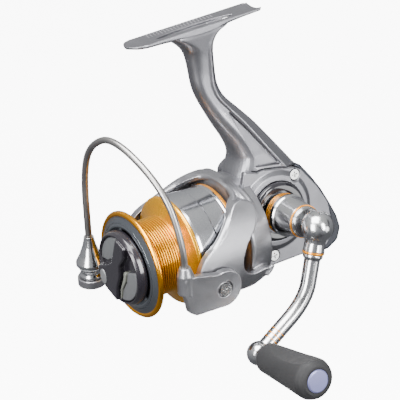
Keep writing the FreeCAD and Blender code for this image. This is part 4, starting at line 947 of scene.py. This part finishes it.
def makeCrank():
    shank = turned("crankShank", [(13.8, 0, 0), (13.8, 6.8, 0.3), (14.2, 7.0, 0), (16.9, 7.05, 0.1),
                                  (17.5, 7.45, 0.3), (18.8, 7.45, 0.3), (19.3, 7.05, 0.15),
                                  (19.7, 6.95, 0.1), (26.8, 5.75, 0.1), (27.2, 5.6, 0.2), (27.2, 0, 0)],
                   crankCentre, right, 128)
    shaft = turned("shankShaft", [(-10.4, 0, 0), (-10.4, 2.08, 0.2), (14.0, 2.08, 0), (14.0, 0, 0)],
                   crankCentre, right, 48)
    shank = joined("crankShank", [shank, shaft])
    dress(shank, "crank", "chrome", "chrome", "handle_shank")
    softenShading(shank)
    bands = []
    for place in crankShape["bands"]:
        bands.append(turned("band", [(place, 6.2, 0), (place, 7.1, 0.05), (place + 0.26, 7.1, 0.05),
                                     (place + 0.26, 6.2, 0)], crankCentre, right, 128))
    dress(joined("crankBands", bands), "crank", "orangeAccent", "orange_accent", "handle_band_rings")
    ring = turned("shankAccent", [(27.22, 3.3, 0), (27.22, 5.85, 0.1), (27.75, 5.85, 0.15), (27.75, 3.3, 0)],
                  crankCentre, right, 128)
    dress(ring, "crank", "orangeAccent", "orange_accent", "shank_accent_ring")
    collar = turned("foldCollar", [(27.77, 3.3, 0), (27.77, 5.6, 0.15), (28.5, 5.5, 0.2), (28.6, 5.0, 0.1),
                                   (29.0, 5.0, 0.1), (29.1, 4.6, 0.1), (29.8, 4.5, 0.2), (29.8, 3.3, 0)],
                    crankCentre, right, 96)
    dress(collar, "crank", "chrome", "chrome")


def makeKnuckle():
    ball = turned("ball", ballCorners(crankShape["kneeRadius"], 24), kneePlace, armDown, 96)
    neck = turned("neck", [(0, 0, 0), (0, 3.9, 0), (4.0, 3.9, 1.5), (5.6, 3.55, 1.0),
                           (8.58, 3.8, 0.1), (8.58, 0, 0)],
                  kneePlace, armDown, 96)
    knuckle = joined("handleKnuckle", [ball, neck])
    across = right.cross(armDown).normalized()
    slot = []
    for x in (-9, 2.6):
        for up in (-9, 3.2):
            for side in (-1.75, 1.75):
                slot.append(kneePlace + right * x + armDown * up + across * side)
    faces = [(0, 1, 3, 2), (4, 5, 7, 6), (0, 1, 5, 4), (2, 3, 7, 6), (0, 2, 6, 4), (1, 3, 7, 5)]
    cutAway(knuckle, [meshObject("slot", slot, faces)])
    castSkin(knuckle, 0.16, 3)
    dress(knuckle, "crank_arm", "chrome", "chrome", "handle_knuckle")
    ring = turned("armAccent", [(8.6, 2.1, 0), (8.6, 3.8, 0.1), (9.3, 3.8, 0.2), (9.3, 2.1, 0)],
                  kneePlace, armDown, 96)
    dress(ring, "crank_arm", "orangeAccent", "orange_accent", "arm_accent_ring")


def makeArm():
    start = kneePlace + armDown * 9.3
    bend = kneePlace + armDown * crankShape["bend"]
    bead = turned("bead", [(9.32, 0, 0), (9.32, 3.45, 0.3), (10.3, 3.5, 0.4), (11.1, 3.1, 0.4), (11.3, 0, 0)],
                  kneePlace, armDown, 96)
    line = easedLine([start, start + (bend - start) * 0.25, bend,
                      knobPlace + (bend - knobPlace) * 0.25, knobPlace], 14)
    thick, thin = crankShape["tubeRadius"], crankShape["tubeEnd"]
    tube = sweptTube("tube", line, lambda t: thick + (thin - thick) * t, 48)
    ball = turned("ball", ballCorners(crankShape["ballRadius"], 20), knobPlace, right, 96)
    collar = turned("collar", [(0, 0, 0), (0, 3.4, 0), (4.4, 3.3, 0.4), (4.4, 0, 0)], knobPlace, right, 64)
    spindle = turned("spindle", [(4, 0, 0), (4, 1.6, 0), (30.2, 1.6, 0.2), (30.2, 0, 0)],
                     knobPlace, right, 48)
    arm = joined("handleArm", [bead, tube, ball, collar, spindle])
    castSkin(arm, 0.16, 3)
    run = (knobPlace - bend).normalized()
    rings = []
    for place in crankShape["armBands"]:
        centre = bend + run * place
        rings.append(turned("band", [(0, 2.3, 0), (0, 2.84, 0.03), (0.3, 2.84, 0.03),
                                     (0.3, 2.3, 0)], centre, run, 96))
    dress(joined("armBands", rings), "crank_arm", "orangeAccent", "orange_accent", "arm_band_rings")
    dress(arm, "crank_arm", "chrome", "chrome", "handle_arm")


def makeGrip():
    grip = nodeCopy("knobGrip", "knob_grip")
    castSkin(grip, 0.22, 5)
    dress(grip, "knob", "gripRubber", "grip_rubber", "knob_grip")
    start = (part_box("knob_grip")[1] / mm).x - knobPlace.x
    cap = turned("knobCap", [(start - 3.2, 0, 0), (start - 3.2, 4.05, 0), (start + 0.25, 4.05, 0.25),
                             (start + 0.5, 3.6, 0.4), (start + 0.45, 0, 0)], knobPlace, right, 96)
    dress(cap, "knob", "capBlue", "cap_blue_grey", "knob_cap")


makeCrank()
makeKnuckle()
makeArm()
makeGrip()
print("crank")

# finishes of the pieces kept from the frame

nodeFinish = {
    "steel": ["drive_bearing_left", "drive_bearing_right", "pinion_bearing", "one_way_clutch",
              "crosswind_guide", "oscillation_axle", "crank_tongue", "fold_pin", "main_shaft",
              "drag_washers_metal", "drag_retainer"],
    "screwSteel": ["side_cover_screws", "rear_cover_screw", "knob_screw", "bail_pivot_screw_right",
                   "bail_pivot_screw_left", "roller_bolt", "crosswind_screw"],
    "zinc": ["drive_gear", "crosswind_block"],
    "brass": ["knob_bushes", "rotor_nut", "pinion_gear"],
    "nylon": ["roller_bush", "oscillation_gear", "spool_support_washer", "spool_click_gear"],
    "felt": ["drag_washers_felt"],
}
for finishName, nodeNames in nodeFinish.items():
    for nodeName in nodeNames:
        node = nodes[nodeName]
        if not node.material_slots:
            node.data.materials.append(finishes[finishName])
        for place in node.material_slots:
            place.material = finishes[finishName]
print("kept pieces", sum(len(names) for names in nodeFinish.values()))

# studio

studio = {
    "azimuth": 60.1, "elevation": 20.2, "roll": 8.6, "distance": 1000.0, "lens": 262.8,
    "aim": (3.60, -8.56, -60.07), "floorDrop": -300.0, "floorHalf": 6000.0, "world": 0.85, "tableGlow": 9.0,
    "middle": (0, 0, -60),
    # place, width, height and watts of each soft lamp
    "lamps": {"topSoft": ((150, -150, 500), 500, 500, 14), "frontSoft": ((300, -600, 120), 300, 500, 9),
              "sideSoft": ((700, 150, 60), 200, 500, 7), "flankSoft": ((620, 420, -240), 260, 320, 1.3)},
    # place, width and height of each dark card
    "cards": {"cardFront": ((150, -500, -160), 160, 500), "cardSide": ((500, -160, 60), 90, 500),
              "cardRear": ((-290, 480, -210), 380, 380), "cardBack": ((330, 520, 40), 160, 420),
              "cardLow": ((200, -100, -290), 260, 160)},
}


def makeCamera():
    azimuth, elevation, roll = (math.radians(studio[key]) for key in ("azimuth", "elevation", "roll"))
    flat = math.cos(elevation)
    back = Vector((math.sin(azimuth) * flat, -math.cos(azimuth) * flat, math.sin(elevation)))
    level = Vector((math.cos(azimuth), math.sin(azimuth), 0))
    upright = back.cross(level)
    across = level * math.cos(roll) - upright * math.sin(roll)
    up = upright * math.cos(roll) + level * math.sin(roll)
    lens = bpy.data.cameras.new("camera")
    lens.lens = studio["lens"]
    lens.sensor_width = 36
    lens.clip_start = 0.01
    lens.clip_end = 50
    camera = bpy.data.objects.new("camera", lens)
    bpy.context.scene.collection.objects.link(camera)
    turn = Matrix((across, up, back)).transposed()
    place = Vector(studio["aim"]) * mm + back * studio["distance"] * mm
    camera.matrix_world = Matrix.Translation(place) @ turn.to_4x4()
    bpy.context.scene.camera = camera


def studioFinish(piece, name, size, dark, light):
    material = bpy.data.materials.new(name)
    material.use_nodes = True
    piece.data.materials.append(material)
    tree = material.node_tree
    shader = tree.nodes["Principled BSDF"]
    shader.inputs["Roughness"].default_value = 0.9
    shade = blendColour(tree, spread(tree, noiseOf(tree, size), 0, 1), dark, light)
    nodeLink(tree, shade, shader.inputs["Base Color"])
    return tree, shader, shade


def makeFloor():
    half, z = studio["floorHalf"], studio["floorDrop"]
    corners = [(-half, -half, z), (half, -half, z), (half, half, z), (-half, half, z)]
    floor = meshObject("floor", corners, [(0, 1, 2, 3)])
    tree, shader, shade = studioFinish(floor, "floorPale", 300.0, (0.93, 0.93, 0.93), (0.95, 0.95, 0.95))
    shader.inputs["Emission Strength"].default_value = studio["tableGlow"]
    nodeLink(tree, shade, shader.inputs["Emission Color"])
    floor.visible_glossy = False
    floor.visible_diffuse = False


def makeLamp(name, place, width, height, power):
    lamp = bpy.data.lights.new(name, "AREA")
    lamp.shape = "RECTANGLE"
    lamp.size = width * mm
    lamp.size_y = height * mm
    lamp.energy = power
    holder = bpy.data.objects.new(name, lamp)
    bpy.context.scene.collection.objects.link(holder)
    holder.location = Vector(place) * mm
    holder.rotation_euler = (Vector(studio["middle"]) - Vector(place)).to_track_quat("-Z", "Y").to_euler()


def makeCard(name, place, width, height):
    # dark card beside the set, which only the polished metal sees
    facing = (Vector(studio["middle"]) - Vector(place)).normalized()
    first, second = sideAxes(facing)
    corners = []
    for a, b in ((-1, -1), (1, -1), (1, 1), (-1, 1)):
        corners.append(Vector(place) + first * a * width / 2 + second * b * height / 2)
    card = meshObject(name, corners, [(0, 1, 2, 3)])
    studioFinish(card, name, 100.0, (0.03, 0.03, 0.035), (0.05, 0.05, 0.055))
    card.visible_camera = False
    card.visible_shadow = False
    card.visible_diffuse = False


def makeWorld():
    world = bpy.data.worlds.new("studio")
    world.use_nodes = True
    tree = world.node_tree
    sky = tree.nodes["Background"]
    sky.inputs["Strength"].default_value = studio["world"]
    spot = tree.nodes.new("ShaderNodeTexCoord").outputs["Generated"]
    parts = tree.nodes.new("ShaderNodeSeparateXYZ")
    tree.links.new(spot, parts.inputs[0])
    ramp = tree.nodes.new("ShaderNodeValToRGB")
    ramp.color_ramp.elements[0].position = 0.15
    ramp.color_ramp.elements[0].color = (0.20, 0.205, 0.22, 1)
    ramp.color_ramp.elements[1].position = 0.95
    ramp.color_ramp.elements[1].color = (1.0, 1.0, 1.0, 1)
    low = ramp.color_ramp.elements.new(0.52)
    low.color = (0.50, 0.51, 0.54, 1)
    tree.links.new(spread(tree, parts.outputs["Z"], 0, 1, -1, 1), ramp.inputs["Fac"])
    tree.links.new(ramp.outputs["Color"], sky.inputs["Color"])
    bpy.context.scene.world = world


makeCamera()
makeFloor()
makeWorld()
for lampName, lampSizes in studio["lamps"].items():
    makeLamp(lampName, *lampSizes)
for cardName, cardSizes in studio["cards"].items():
    makeCard(cardName, *cardSizes)
print("studio")
